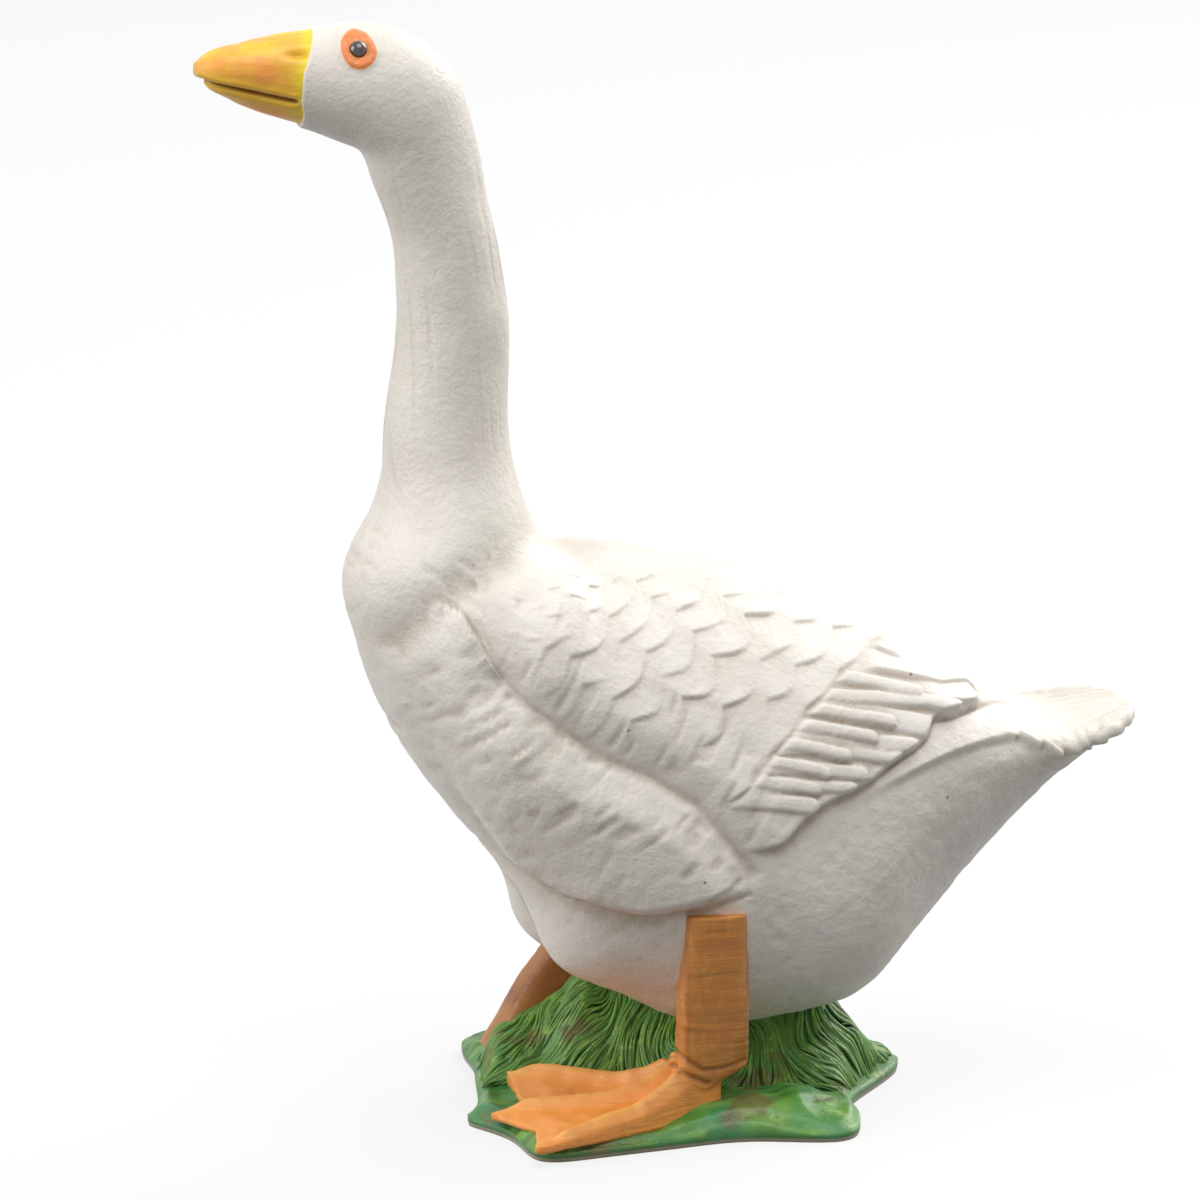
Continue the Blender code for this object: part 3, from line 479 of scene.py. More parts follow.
def trunk_relief(grid, down, widest, along):
    """How far the carved trunk stands off the smooth one."""
    x, z = grid[..., 0], grid[..., 2]
    y = np.abs(grid[..., 1])
    wing_rear = smooth_line(WING_REAR)
    wing_edge = wing_rear + ((WING_REAR[-1][0], -1.0), (SHOULDER[0][0], -1.0)) + SHOULDER
    on_trunk = z < TRUNK_TOP
    in_wing = inside(wing_edge, x, down) & on_trunk
    crease = line_distance(CREASE, x, z)
    rear = line_distance(wing_rear, x, down)
    shoulder = line_distance(SHOULDER, x, down)
    below = inside(CREASE + FLANK_EDGE[1:] + BREAST_FRONT, x, z)
    flank_edge = line_distance(FLANK_EDGE, x, z)
    above = in_wing & ~below
    shoulder_rise = above * ease(0.0, 3.5, shoulder)
    rear_step = 0.4 + 6.0 * (1.0 - ease(2.5, 8.0, down))
    relief = WING_RELIEF * shoulder_rise * ease(0.0, CREASE_SLOPE, crease) * ease(0.0, rear_step, rear)
    open_wing = shoulder_rise * ease(0.0, 0.7, crease)
    crest = np.exp(-((crease - 0.55) / 0.45) ** 2) * (0.6 + 0.5 * grain(x / 0.9, z / 0.9, 18))
    flank = FLANK_RELIEF * ease(0.0, CREASE_SLOPE, crease) + CREST_RELIEF * crest
    relief = relief + below * flank * ease(0.0, 1.5, flank_edge) * ease(-18.5, -12.5, x)
    relief = relief - CREASE_DEPTH * np.exp(-(crease / CREASE_WIDTH) ** 2) * on_trunk * (down < 30.0)
    fall = math.radians(COVERT_SLOPE)
    beyond = x * math.sin(fall) + down * math.cos(fall) - COVERT_ROWS[0][0]
    coverts = covert_relief(x, down) * open_wing * ease(0.0, 0.9, rear)
    bars = bar_relief(x, down) * open_wing * ease(0.0, 0.3, rear) * ease(0.0, 0.5, beyond)
    relief = relief + np.maximum(coverts, bars)
    relief = relief + tail_relief(x, down) * ~in_wing
    relief = relief + ridge_relief(x, z, down, widest) * on_trunk * ~above
    valley = np.exp(-(line_distance(VALLEY, x, z) / VALLEY_WIDTH) ** 2)
    relief = relief - VALLEY_DEPTH * valley * ease(0.8, 3.4, down)
    thigh = sum(((p - at) / reach) ** 2 for p, at, reach in zip((x, y, z), THIGH, THIGH_REACH))
    relief = relief + THIGH_RELIEF * np.exp(-thigh)
    near_crest = below * ease(0.0, 0.5, crease) * (1.0 - ease(3.0, 6.0, crease))
    flank_cuts = strokes(x, z, 38.0, 0.42, 1.5, 11) * near_crest
    low_cuts = strokes(x, z, 74.0, 0.42, 1.3, 12) * below * ease(2.5, 5.0, crease)
    wing_cuts = strokes(x, z, 62.0, 0.5, 1.7, 19) * above * ease(0.4, 1.2, crease) * ease(6.5, 3.5, crease)
    wing_cuts = wing_cuts * ease(4.0, 1.0, x)
    breast = ~in_wing & ~below & (x < -10.0)
    breast_cuts = strokes(x, z, -28.0, 0.5, 1.6, 13) * breast * (1.0 - ease(22.0, 25.0, z))
    relief = relief - STROKE_RELIEF * (flank_cuts + wing_cuts + 0.5 * low_cuts + 0.75 * breast_cuts)
    small = grain(x / 0.8, z / 0.8, 15) + 0.6 * grain(x / 0.4, z / 0.4, 16)
    dents = DENT_DEPTH * grain(x / DENT_SIZE, z / DENT_SIZE, 14) + 0.03 * small * (1.0 - ease(20.0, 24.0, z))
    return relief + dents * (1.0 - 0.6 * in_wing) + groove_relief(y, z, down, along)


def groove_relief(y, z, down, along):
    """Combed grooves that run down the neck, deepest along its front and back."""
    edge = 1.0 - ease(1.2, 3.0, y)
    comb = ease(0.1, 0.8, grain(down / 0.42 + 0.6 * grain(along / 4.0, down / 2.0, 21), along / 5.5, 22))
    return -GROOVE_RELIEF * comb * (0.3 + 0.7 * edge) * ease(24.5, 27.5, z) * (1.0 - ease(43.0, 48.0, z))


def neck_relief(grid, down, along):
    """Combed grooves of the neck, dents of the head, eye rims and the bill's bed."""
    x, z = grid[..., 0], grid[..., 2]
    y = np.abs(grid[..., 1])
    relief = groove_relief(y, z, down, along) + DENT_DEPTH * grain(x / DENT_SIZE, z / DENT_SIZE, 14)
    valley = np.exp(-(line_distance(VALLEY, x, z) / VALLEY_WIDTH) ** 2)
    relief = relief - VALLEY_DEPTH * valley * ease(0.8, 3.4, down)
    eye = np.hypot(x - EYE[0], z - EYE[1])
    relief = relief + 0.17 * np.exp(-((eye - 0.8 * EYE_RING_RADIUS) / 0.27) ** 2) * (z > 45.0)
    bill = inside(BILL_ROOT + ((-40.0, 48.0), (-40.0, 60.0)), x, z) & (z > 45.0)
    wander = 0.08 * grain(z / 0.7, y / 2.0, 25)
    return relief - BILL_BED * bill * ease(0.0, 0.3, line_distance(BILL_ROOT, x, z) + wander)


def bill_relief(grid):
    """Mouth, nostrils and brush dents of the bill."""
    x, z = grid[..., 0], grid[..., 2]
    mouth = MOUTH_DEPTH * np.exp(-(line_distance(MOUTH, x, z) / 0.12) ** 2)
    lip = 0.07 * np.exp(-((line_distance(MOUTH, x, z) - 0.42) / 0.22) ** 2)
    nostril = NOSTRIL_DEPTH * np.exp(-(np.hypot((x - NOSTRIL[0]) / 0.75, (z - NOSTRIL[1]) / 0.26)) ** 2)
    reach = ease(-24.6, -25.1, x)
    return -BILL_STEP - mouth * reach + lip * reach - nostril + 0.03 * grain(x / 0.9, z / 0.9, 31)


def furrows(relief, around, along):
    """How deep each point lies under its surroundings, 0 to 1."""
    blurred = relief.copy()
    for _ in range(around):
        blurred = (blurred + np.roll(blurred, 1, axis=1) + np.roll(blurred, -1, axis=1)) / 3
    for _ in range(along):
        blurred[1:-1] = (blurred[1:-1] + blurred[:-2] + blurred[2:]) / 3
    return np.clip((blurred - relief) / FURROW_DEPTH, 0.0, 1.0)


def new_piece(name, points, faces, marks, material):
    """Piece of the figurine from points in millimetres, with its marks stored for the paint."""
    mesh = bpy.data.meshes.new(name)
    mesh.from_pydata(np.asarray(points) * MM, [], faces)
    for mark, values in marks.items():
        field = mesh.attributes.new(mark, "FLOAT", "POINT")
        field.data.foreach_set("value", np.asarray(values, dtype=np.float32).ravel())
    mesh.validate()
    mesh.shade_smooth()
    mesh.materials.append(material)
    piece = bpy.data.objects.new(name, mesh)
    bpy.context.scene.collection.objects.link(piece)
    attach(piece, "root")
    return piece


def ring_faces(rings, count, start_cap, end_cap):
    """Faces between rings of points, with fans to an end point where a cap is wanted."""
    i = np.arange(rings - 1)[:, None] * count
    j = np.arange(count)[None, :]
    k = (j + 1) % count
    quads = np.stack([i + j, i + count + j, i + count + k, i + k], axis=-1).reshape(-1, 4).tolist()
    last = (rings - 1) * count
    extra = rings * count
    if start_cap:
        quads += [(int(j0), int((j0 + 1) % count), extra) for j0 in range(count)]
        extra += 1
    if end_cap:
        quads += [(int(last + (j0 + 1) % count), int(last + j0), extra) for j0 in range(count)]
    return quads


def loft_piece(name, grid, marks, material, start_cap=False, end_cap=False):
    """Piece through rings of points."""
    rings, count, _ = grid.shape
    points = [grid.reshape(-1, 3)]
    values = {mark: [field.reshape(-1)] for mark, field in marks.items()}
    for wanted, ring in ((start_cap, 0), (end_cap, rings - 1)):
        if wanted:
            points.append(grid[ring].mean(axis=0)[None, :])
            for mark in values:
                values[mark].append(np.array([marks[mark][ring].mean()]))
    points = np.concatenate(points)
    values = {mark: np.concatenate(parts) for mark, parts in values.items()}
    return new_piece(name, points, ring_faces(rings, count, start_cap, end_cap), values, material)


def raised(grid):
    """The grid lifted from the hip's frame to the base's."""
    return grid + (0.0, 0.0, HIP_HEIGHT)


def make_trunk(material):
    """Trunk in four pieces that share their end rings, finest where the bars of the wing are."""
    spans = (
        ("plumage_tail", 0, 4, 0.23),
        ("plumage_wings", 4, 8, 0.155),
        ("plumage_shoulders", 8, 12, 0.19),
        ("plumage_breast", 12, NECK_ROOT, 0.28),
    )
    places = ring_places([span[1:] for span in spans])
    angles = ring_angles(250, 45, 0.64 * math.pi)
    grid, down = bird_grid(places, angles)
    widest = down[:, [np.searchsorted(angles, 0.5 * math.pi)]]
    along = np.repeat(places[:, None], len(angles), axis=1)
    relief = trunk_relief(grid, down, widest, along)
    side = np.where(grid[..., 1] < 0, -1.0, 1.0)
    marks = {"dark_wash_and_shade": furrows(relief, 10, 5), "along": along, "around": down * side}
    grid = raised(grid + grid_normals(grid) * relief[..., None])
    _, knots = section_rows()
    pieces = []
    for name, first, last, _ in spans:
        low, high = np.searchsorted(places, (knots[first] - 1e-6, knots[last] - 1e-6))
        part = slice(low, high + 1)
        own = {mark: field[part] for mark, field in marks.items()}
        pieces.append(loft_piece(name, grid[part], own, material, start_cap=first == 0))
    return pieces


def make_neck(material):
    """Neck and head, with a bed under the bill that ends inside it."""
    places = ring_places((
        (NECK_ROOT, HEAD_BACK, 0.23),
        (HEAD_BACK, BILL_BACK, 0.11),
        (BILL_BACK, BILL_END - 2, 0.09),
    ))
    angles = ring_angles(95, 62, 0.6 * math.pi)
    grid, down = bird_grid(places, angles)
    along = np.repeat(places[:, None], len(angles), axis=1)
    relief = neck_relief(grid, down, along)
    side = np.where(grid[..., 1] < 0, -1.0, 1.0)
    eye = np.hypot(grid[..., 0] - EYE[0], grid[..., 2] - EYE[1]) + 100.0 * (grid[..., 2] < 45.0)
    marks = {"dark_wash_and_shade": furrows(relief, 6, 4), "along": along, "around": down * side, "eye": eye}
    grid = grid + grid_normals(grid) * relief[..., None]
    return loft_piece("plumage_neck", raised(grid), marks, material, end_cap=True)


def make_bill(material):
    """Bill that starts inside the head."""
    places = ring_places(((BILL_BACK - 1, BILL_BACK, 0.13), (BILL_BACK, BILL_END, 0.08)))
    angles = ring_angles(75, 45, 0.6 * math.pi)
    grid, _ = bird_grid(places, angles)
    relief = bill_relief(grid)
    root = line_distance(BILL_ROOT, grid[..., 0], grid[..., 2])
    within = inside(BILL_ROOT + ((-40.0, 48.0), (-40.0, 60.0)), grid[..., 0], grid[..., 2])
    relief = relief - 0.4 * ease(0.15, 0.9, root) * ~within
    mouth = line_distance(MOUTH, grid[..., 0], grid[..., 2])
    marks = {"dark_wash_and_shade": furrows(relief, 5, 5), "root": root, "mouth": mouth}
    grid = grid + grid_normals(grid) * relief[..., None]
    return loft_piece("bill", raised(grid), marks, material, start_cap=True, end_cap=True)


def eye_place(side):
    """Point of the smooth head at the eye, on one side."""
    places = ring_places(((HEAD_BACK, BILL_BACK, 0.1),))
    grid, _ = bird_grid(places, ring_angles(60, 60, 0.5 * math.pi))
    near = grid[:, 1:grid.shape[1] // 2]
    miss = np.hypot(near[..., 0] - EYE[0], near[..., 2] - EYE[1])
    spot = near[np.unravel_index(np.argmin(miss), miss.shape)]
    return EYE[0], side * abs(spot[1]), EYE[1] + HIP_HEIGHT


def make_eye(name, side, material):
    """Glossy ball that stands a little out of the painted ring."""
    x, y, z = eye_place(side)
    turn = np.linspace(0.0, 2 * math.pi, 40, endpoint=False)[None, :]
    rise = np.linspace(0.05, math.pi - 0.05, 24)[:, None]
    round_x, round_z = np.sin(rise) * np.cos(turn), np.sin(rise) * np.sin(turn)
    ball = np.stack([round_x, np.cos(rise) + 0.0 * turn, round_z], axis=-1)
    grid = EYE_RADIUS * ball + (x, y - side * EYE_SET_IN * EYE_RADIUS, z)
    return loft_piece(name, grid, {}, material, start_cap=True, end_cap=True)


def srgb(red, green, blue):
    """Linear colour of a paint given as it looks, 0 to 255."""
    shares = np.array((red, green, blue)) / 255.0
    linear = np.where(shares <= 0.04045, shares / 12.92, ((shares + 0.055) / 1.055) ** 2.4)
    return (*linear.tolist(), 1.0)


def add(tree, kind, values=None, **settings):
    """Node with its settings, its socket values and the links that come into it."""
    made = tree.nodes.new(kind)
    for key, value in settings.items():
        setattr(made, key, value)
    for socket, value in (values or {}).items():
        if isinstance(value, bpy.types.NodeSocket):
            tree.links.new(value, made.inputs[socket])
        else:
            made.inputs[socket].default_value = value
    return made


def mixed(tree, share, first, second):
    """Colour between two colours."""
    return add(tree, "ShaderNodeMix", {0: share, 6: first, 7: second}, data_type="RGBA").outputs[2]


def layered(tree, colour, layers):
    """Colour with more paints laid over it in turn, each by its own share."""
    for share, over in layers:
        colour = mixed(tree, share, colour, over)
    return colour


def maths(tree, operation, first, second):
    """Sum, product or other step of arithmetic on two values."""
    return add(tree, "ShaderNodeMath", {0: first, 1: second}, operation=operation).outputs[0]


def times(tree, first, second):
    """Product of two values."""
    return maths(tree, "MULTIPLY", first, second)


def ramp(tree, value, low, high, to_low=0.0, to_high=1.0):
    """Value carried from one range to another, held at both ends."""
    made = add(tree, "ShaderNodeMapRange", {0: value, 1: low, 2: high, 3: to_low, 4: to_high})
    return made.outputs[0]


def mark(tree, name):
    """Value that the mesh holds for each point."""
    return add(tree, "ShaderNodeAttribute", attribute_name=name, attribute_type="GEOMETRY").outputs["Fac"]


def noise(tree, vector, scale, detail=3.0, roughness=0.55):
    """Cloudy random value, 0 to 1."""
    values = {"Vector": vector, "Scale": scale, "Detail": detail, "Roughness": roughness}
    return add(tree, "ShaderNodeTexNoise", values).outputs["Fac"]


def millimetres(tree, stretch=(1.0, 1.0, 1.0)):
    """Place on the figurine in millimetres, stretched along the axes."""
    place = add(tree, "ShaderNodeTexCoord").outputs["Object"]
    scale = tuple(s / MM for s in stretch)
    return add(tree, "ShaderNodeVectorMath", {0: place, 1: scale}, operation="MULTIPLY").outputs[0]


def group(name, inputs, outputs):
    """Empty node group with its sockets, and its two end nodes."""
    tree = bpy.data.node_groups.new(name, "ShaderNodeTree")
    for label, kind, value in inputs:
        socket = tree.interface.new_socket(label, in_out="INPUT", socket_type=kind)
        if value is not None:
            socket.default_value = value
    for label, kind in outputs:
        tree.interface.new_socket(label, in_out="OUTPUT", socket_type=kind)
    return tree, tree.nodes.new("NodeGroupInput"), tree.nodes.new("NodeGroupOutput")


def make_brush_group():
    """Streaks that a paint brush leaves, as a mask and a height."""
    tree, inlet, outlet = group(
        "brush_streaks",
        (
            ("Flow", "NodeSocketVector", None),
            ("Fine", "NodeSocketFloat", 1.0),
            ("Cover", "NodeSocketFloat", 0.5),
        ),
        (("Mask", "NodeSocketFloat"), ("Height", "NodeSocketFloat")),
    )
    streak = noise(tree, inlet.outputs["Flow"], inlet.outputs["Fine"], 4.0, 0.6)
    low = maths(tree, "SUBTRACT", 1.0, inlet.outputs["Cover"])
    high = maths(tree, "ADD", low, 0.16)
    values = {0: streak, 1: low, 2: high}
    mask = add(tree, "ShaderNodeMapRange", values, interpolation_type="SMOOTHSTEP").outputs[0]
    tree.links.new(mask, outlet.inputs["Mask"])
    tree.links.new(streak, outlet.inputs["Height"])
    return tree


def make_patch_group():
    """Soft patches and small specks, as two masks."""
    tree, inlet, outlet = group(
        "patches_and_specks",
        (
            ("Place", "NodeSocketVector", None),
            ("Patch Size", "NodeSocketFloat", 6.0),
            ("Speck Share", "NodeSocketFloat", 0.1),
        ),
        (("Patch", "NodeSocketFloat"), ("Speck", "NodeSocketFloat")),
    )
    scale = maths(tree, "DIVIDE", 1.0, inlet.outputs["Patch Size"])
    patch = noise(tree, inlet.outputs["Place"], scale, 2.0, 0.5)
    patch = ramp(tree, patch, 0.45, 0.7)
    cell = add(tree, "ShaderNodeTexVoronoi", {"Vector": inlet.outputs["Place"], "Scale": 0.45})
    pick = noise(tree, cell.outputs["Position"], 3.1, 0.0)
    chosen = maths(tree, "LESS_THAN", pick, maths(tree, "ADD", inlet.outputs["Speck Share"], 0.25))
    dot = ramp(tree, cell.outputs["Distance"], 0.035, 0.06, 1.0, 0.0)
    tree.links.new(patch, outlet.inputs["Patch"])
    tree.links.new(times(tree, dot, chosen), outlet.inputs["Speck"])
    return tree


def use(tree, shared, values):
    """The shared group placed in a material with its own values."""
    made = add(tree, "ShaderNodeGroup", node_tree=shared)
    for socket, value in values.items():
        if isinstance(value, bpy.types.NodeSocket):
            tree.links.new(value, made.inputs[socket])
        else:
            made.inputs[socket].default_value = value
    return made.outputs


def paint(name, roughness, coat=0.0):
    """New material with a plain shader, its tree and that shader."""
    material = bpy.data.materials.new(name)
    material.use_nodes = True
    tree = material.node_tree
    shader = tree.nodes["Principled BSDF"]
    shader.inputs["Roughness"].default_value = roughness
    shader.inputs["Coat Weight"].default_value = coat
    return material, tree, shader


def bump(tree, shader, height, distance):
    """Small bumps on the paint, of the given height in millimetres."""
    made = add(tree, "ShaderNodeBump", {"Height": height, "Distance": distance * MM, "Strength": 1.0})
    tree.links.new(made.outputs["Normal"], shader.inputs["Normal"])


def make_plumage_paint(name, brush, patches, with_eye):
    """Chalky white paint with a thin brown wash and painted shade left in the carving."""
    material, tree, shader = paint(name, 0.5)
    place = millimetres(tree)
    flow = add(tree, "ShaderNodeCombineXYZ", {0: mark(tree, "along"), 1: mark(tree, "around")}).outputs[0]
    combed = add(tree, "ShaderNodeVectorMath", {0: flow, 1: (0.5, 1.8, 1.0)}, operation="MULTIPLY").outputs[0]
    streaks = use(tree, brush, {"Flow": combed, "Fine": 1.0, "Cover": 0.46})
    drawn = add(tree, "ShaderNodeVectorMath", {0: flow, 1: (0.22, 4.5, 1.0)}, operation="MULTIPLY").outputs[0]
    scratches = use(tree, brush, {"Flow": drawn, "Fine": 1.0, "Cover": 0.36})
    soft = use(tree, patches, {"Place": place, "Patch Size": 7.0, "Speck Share": 0.07})
    # Brown in the carving: a wash, with painted shade in it.
    wash_and_shade = times(tree, mark(tree, "dark_wash_and_shade"), ramp(tree, noise(tree, place, 0.9), 0.3, 0.6, 0.4, 0.9))
    white = layered(tree, srgb(233, 227, 219), (
        (ramp(tree, noise(tree, place, 0.25), 0.35, 0.65), srgb(226, 219, 209)),
        (times(tree, streaks["Mask"], 0.25), srgb(243, 239, 233)),
        (times(tree, soft["Patch"], 0.3), srgb(214, 208, 186)),
        (times(tree, scratches["Mask"], 0.3), srgb(247, 243, 237)),
        (times(tree, wash_and_shade, 0.75), srgb(176, 158, 138)),
        (times(tree, soft["Speck"], 0.75), srgb(112, 100, 86)),
    ))
    if with_eye:
        wander = ramp(tree, noise(tree, place, 0.9, 1.0), 0.3, 0.7, -0.04, 0.04)
        edge = maths(tree, "ADD", mark(tree, "eye"), wander)
        ring = ramp(tree, edge, EYE_RING_RADIUS, EYE_RING_RADIUS + 0.08, 1.0, 0.0)
        cloud = ramp(tree, noise(tree, place, 3.0), 0.35, 0.65)
        orange = mixed(tree, cloud, srgb(226, 122, 58), srgb(236, 150, 88))
        white = mixed(tree, ring, white, orange)
    tree.links.new(white, shader.inputs["Base Color"])
    fine = times(tree, noise(tree, place, 4.0), 0.6)
    dents = maths(tree, "ADD", noise(tree, place, 1.4, 2.0), fine)
    height = maths(tree, "ADD", dents, times(tree, streaks["Height"], 0.35))
    bump(tree, shader, height, 0.07)
    return material


def make_bill_paint(brush):
    """Yellow bill with an orange brushed middle, dark in the mouth and nostril."""
    material, tree, shader = paint("bill_paint", 0.42)
    place = millimetres(tree)
    brushed = millimetres(tree, (0.45, 1.6, 2.4))
    streaks = use(tree, brush, {"Flow": brushed, "Fine": 0.8, "Cover": 0.55})
    root = mark(tree, "root")
    mouth = mark(tree, "mouth")
    yellow = mixed(tree, streaks["Height"], srgb(243, 186, 52), srgb(250, 206, 72))
    middle = times(tree, ramp(tree, root, 0.5, 1.6), ramp(tree, mouth, 0.5, 1.1))
    patch = times(tree, middle, ramp(tree, noise(tree, place, 0.42), 0.38, 0.56))
    colour = layered(tree, yellow, (
        (times(tree, patch, 0.9), srgb(252, 164, 80)),
        (ramp(tree, root, 0.2, 0.9, 0.85, 0.0), srgb(246, 218, 48)),
        (times(tree, streaks["Mask"], 0.3), srgb(226, 140, 36)),
        (ramp(tree, mouth, 0.05, 0.2, 0.9, 0.0), srgb(96, 58, 20)),
        # Brown in the nostril and the bill's other dents: a wash with painted shade in it.
        (times(tree, mark(tree, "dark_wash_and_shade"), 0.6), srgb(150, 84, 26)),
    ))
    tree.links.new(colour, shader.inputs["Base Color"])
    bump(tree, shader, streaks["Height"], 0.05)
    return material


def make_eye_paint():
    """Glossy dark brown of the eyes."""
    material, tree, shader = paint("eye_gloss", 0.12, coat=1.0)
    brown = mixed(tree, noise(tree, millimetres(tree), 2.0), srgb(34, 24, 22), srgb(58, 42, 36))
    tree.links.new(brown, shader.inputs["Base Color"])
    return material


def make_leg_paint(brush):
    """Orange leg paint, browner up the leg, brushed lighter on the toes, with a brown wash and painted shade
    in the folds and a painted shadow over the right leg.
    """
    material, tree, shader = paint("leg_paint", 0.45)
    place = millimetres(tree)
    streaks = use(tree, brush, {"Flow": millimetres(tree, (2.2, 2.2, 0.6)), "Fine": 0.7, "Cover": 0.5})
    level = mark(tree, "level")
    orange = mixed(tree, ramp(tree, level, 1.8, 5.5), srgb(240, 154, 70), srgb(208, 136, 60))
    orange = layered(tree, orange, (
        (times(tree, streaks["Mask"], 0.35), srgb(240, 172, 84)),
        (times(tree, mark(tree, "proud"), 0.55), srgb(246, 186, 100)),
        (ramp(tree, noise(tree, place, 0.5), 0.5, 0.7, 0.0, 0.4), srgb(190, 106, 48)),
        # Brown wash and painted shade in the folds and along the edges, and the painted shadow over the right
        # leg.
        (times(tree, mark(tree, "dark_wash_and_shade"), 0.75), srgb(120, 66, 28)),
    ))
    tree.links.new(orange, shader.inputs["Base Color"])
    wrinkle = noise(tree, millimetres(tree, (0.35, 0.35, 2.6)), 1.0, 3.0)
    bump(tree, shader, wrinkle, 0.1)
    return material


def make_grass_paint(name, brush, dry_brush_and_highlight):
    """Green paint with a brown wash and painted shade in the hollows and under the blades, and a light
    yellow-green dry brush on raised places that on the blades' tops is a painted highlight.
    """
    material, tree, shader = paint(name, 0.4)
    place = millimetres(tree)
    streaks = use(tree, brush, {"Flow": millimetres(tree, (1.2, 1.8, 1.2)), "Fine": 0.8, "Cover": 0.48})
    # Light yellow-green: dry brush in streaks on the ground, and a painted highlight along the top of each
    # blade.
    light = times(tree, mark(tree, "proud"), ramp(tree, streaks["Mask"], 0.0, 1.0, 0.35, 1.0))
    height = add(tree, "ShaderNodeSeparateXYZ", {0: place}).outputs["Z"]
    green = layered(tree, srgb(32, 92, 34), (
        (mark(tree, "shade"), srgb(90, 154, 60)),
        (ramp(tree, noise(tree, place, 0.35), 0.45, 0.7), srgb(58, 130, 76)),
        (times(tree, light, dry_brush_and_highlight), srgb(168, 202, 90)),
        # Dark green-brown: wash in the ground's cuts, and painted shade under each blade.
        (times(tree, mark(tree, "dark_wash_and_shade"), 0.8), srgb(44, 62, 34)),
        (ramp(tree, noise(tree, place, 0.3, 2.0), 0.57, 0.66, 0.0, 0.65), srgb(110, 82, 50)),
        (ramp(tree, height, 0.15, 0.3, 0.9, 0.0), srgb(196, 180, 150)),
    ))
    tree.links.new(green, shader.inputs["Base Color"])
    bump(tree, shader, streaks["Height"], 0.12)
    return material


def rounded_section(centre, half_x, half_y, count):
    """Level ring with flat sides and rounded corners."""
    angle = np.linspace(0.0, 2 * math.pi, count, endpoint=False)
    ring = np.empty((count, 3))
    ring[:, 0] = centre[0] + half_x * np.sign(np.cos(angle)) * np.abs(np.cos(angle)) ** 0.45
    ring[:, 1] = centre[1] + half_y * np.sign(np.sin(angle)) * np.abs(np.sin(angle)) ** 0.45
    ring[:, 2] = centre[2]
    return ring


def leg_shape(side, ankle_x, hip_x, hip_inset):
    """Points and faces of a flat-sided leg from inside the belly down into the foot."""
    low, high = ANKLE_HEIGHT, HIP_HEIGHT + 0.3
    rings = []
    for share in np.linspace(0.0, 1.0, 40):
        x = ankle_x + (hip_x - ankle_x) * share
        y = side * (LEG_INSET + (hip_inset - LEG_INSET) * share ** 0.9)
        waist = 1.085 - 0.035 * ease(0.0, 0.5, share) - 0.12 * ease(0.4, 1.0, share)
        centre = (x, y, low + (high - low) * share)
        ring = rounded_section(centre, waist * LEG_WIDTH / 2, LEG_THICKNESS / 2, 72)
        ring[:, 2] += HEEL_SLOPE * (ring[:, 0] - x) * (1.0 - ease(0.0, 0.3, share))
        rings.append(ring)
    rings = np.array(rings)
    ends = np.array([rings[0].mean(axis=0), rings[-1].mean(axis=0)])
    return np.concatenate([rings.reshape(-1, 3), ends]), ring_faces(len(rings), 72, True, True)


def foot_shape(side, ankle_x, heading, length, ankle_rise):
    """Points and faces of a webbed foot: three toes that fan from the ankle, with a web between them."""
    across, outward = 181, 110
    toe_at = np.array((-TOE_SPLAY, 0.0, TOE_SPLAY))
    toe_long = length * np.array((1.02, 1.0, 1.0))
    share = np.linspace(0.0, 1.0, outward)[:, None]
    turn = np.linspace(-1.25 * TOE_SPLAY, 1.25 * TOE_SPLAY, across)[None, :]
    near = np.abs(toe_at[:, None] - turn).argmin(axis=0)
    inner = np.clip(turn, -TOE_SPLAY, TOE_SPLAY)
    gap = np.abs(toe_at[near] - inner)
    outer = (turn - inner) / (0.25 * TOE_SPLAY)
    reach = toe_long[near] * (1.0 - WEB_NOTCH * np.minimum(1.0, gap / (0.5 * TOE_SPLAY)) ** 0.7)
    reach = reach - 0.55 * TOE_WIDTH * (1.0 - np.sqrt(1.0 - outer ** 2))
    way = 0.6 + (reach - 0.6) * share
    bearing = np.radians(heading + inner)
    beside = 0.55 * TOE_WIDTH * outer * (1.0 - 0.35 * share)
    offset = way * np.radians(gap) + np.abs(beside)
    ridge = np.exp(-(offset / (0.5 * TOE_WIDTH * (1.0 - 0.35 * share))) ** 2)
    height = WEB_HEIGHT + (TOE_HEIGHT - WEB_HEIGHT) * ridge * (1.0 - 0.4 * share)
    height = height + (ankle_rise - WEB_HEIGHT) * np.exp(-(way / 4.4) ** 2) * (0.6 + 0.4 * ridge)
    height = height * (1.0 - 0.65 * ease(0.82, 1.0, share))
    height = height + 0.45 * ease(-0.5 * TOE_SPLAY, -TOE_SPLAY, turn) * ease(0.2, 0.9, share)
    droop = 0.5 * ease(0.5 * TOE_SPLAY, TOE_SPLAY, turn) * ease(0.6, 1.0, share)
    height = np.maximum(height - droop, np.minimum(height, 0.42))
    x = ankle_x - way * np.cos(bearing) + beside * np.sin(bearing)
    y = side * (LEG_INSET + way * np.sin(bearing) + beside * np.cos(bearing))
    top = np.stack([x, y, BASE_THICKNESS + height], axis=-1)
    under = top.copy()
    under[..., 2] = 0.8 * BASE_THICKNESS
    points = np.concatenate([top.reshape(-1, 3), under.reshape(-1, 3)])
    half = outward * across
    i = np.arange(outward - 1)[:, None] * across
    j = np.arange(across - 1)[None, :]
    quads = np.stack([i + j, i + j + 1, i + across + j + 1, i + across + j], axis=-1).reshape(-1, 4)
    faces = quads.tolist() + (half + quads[:, ::-1]).tolist()
    rim = [n * across for n in range(outward)]
    rim += [(outward - 1) * across + n for n in range(1, across)]
    rim += [n * across + across - 1 for n in range(outward - 2, -1, -1)]
    rim += list(range(across - 2, 0, -1))
    for a, b in zip(rim, rim[1:] + rim[:1]):
        faces.append((b, a, half + a, half + b))
    return points, faces


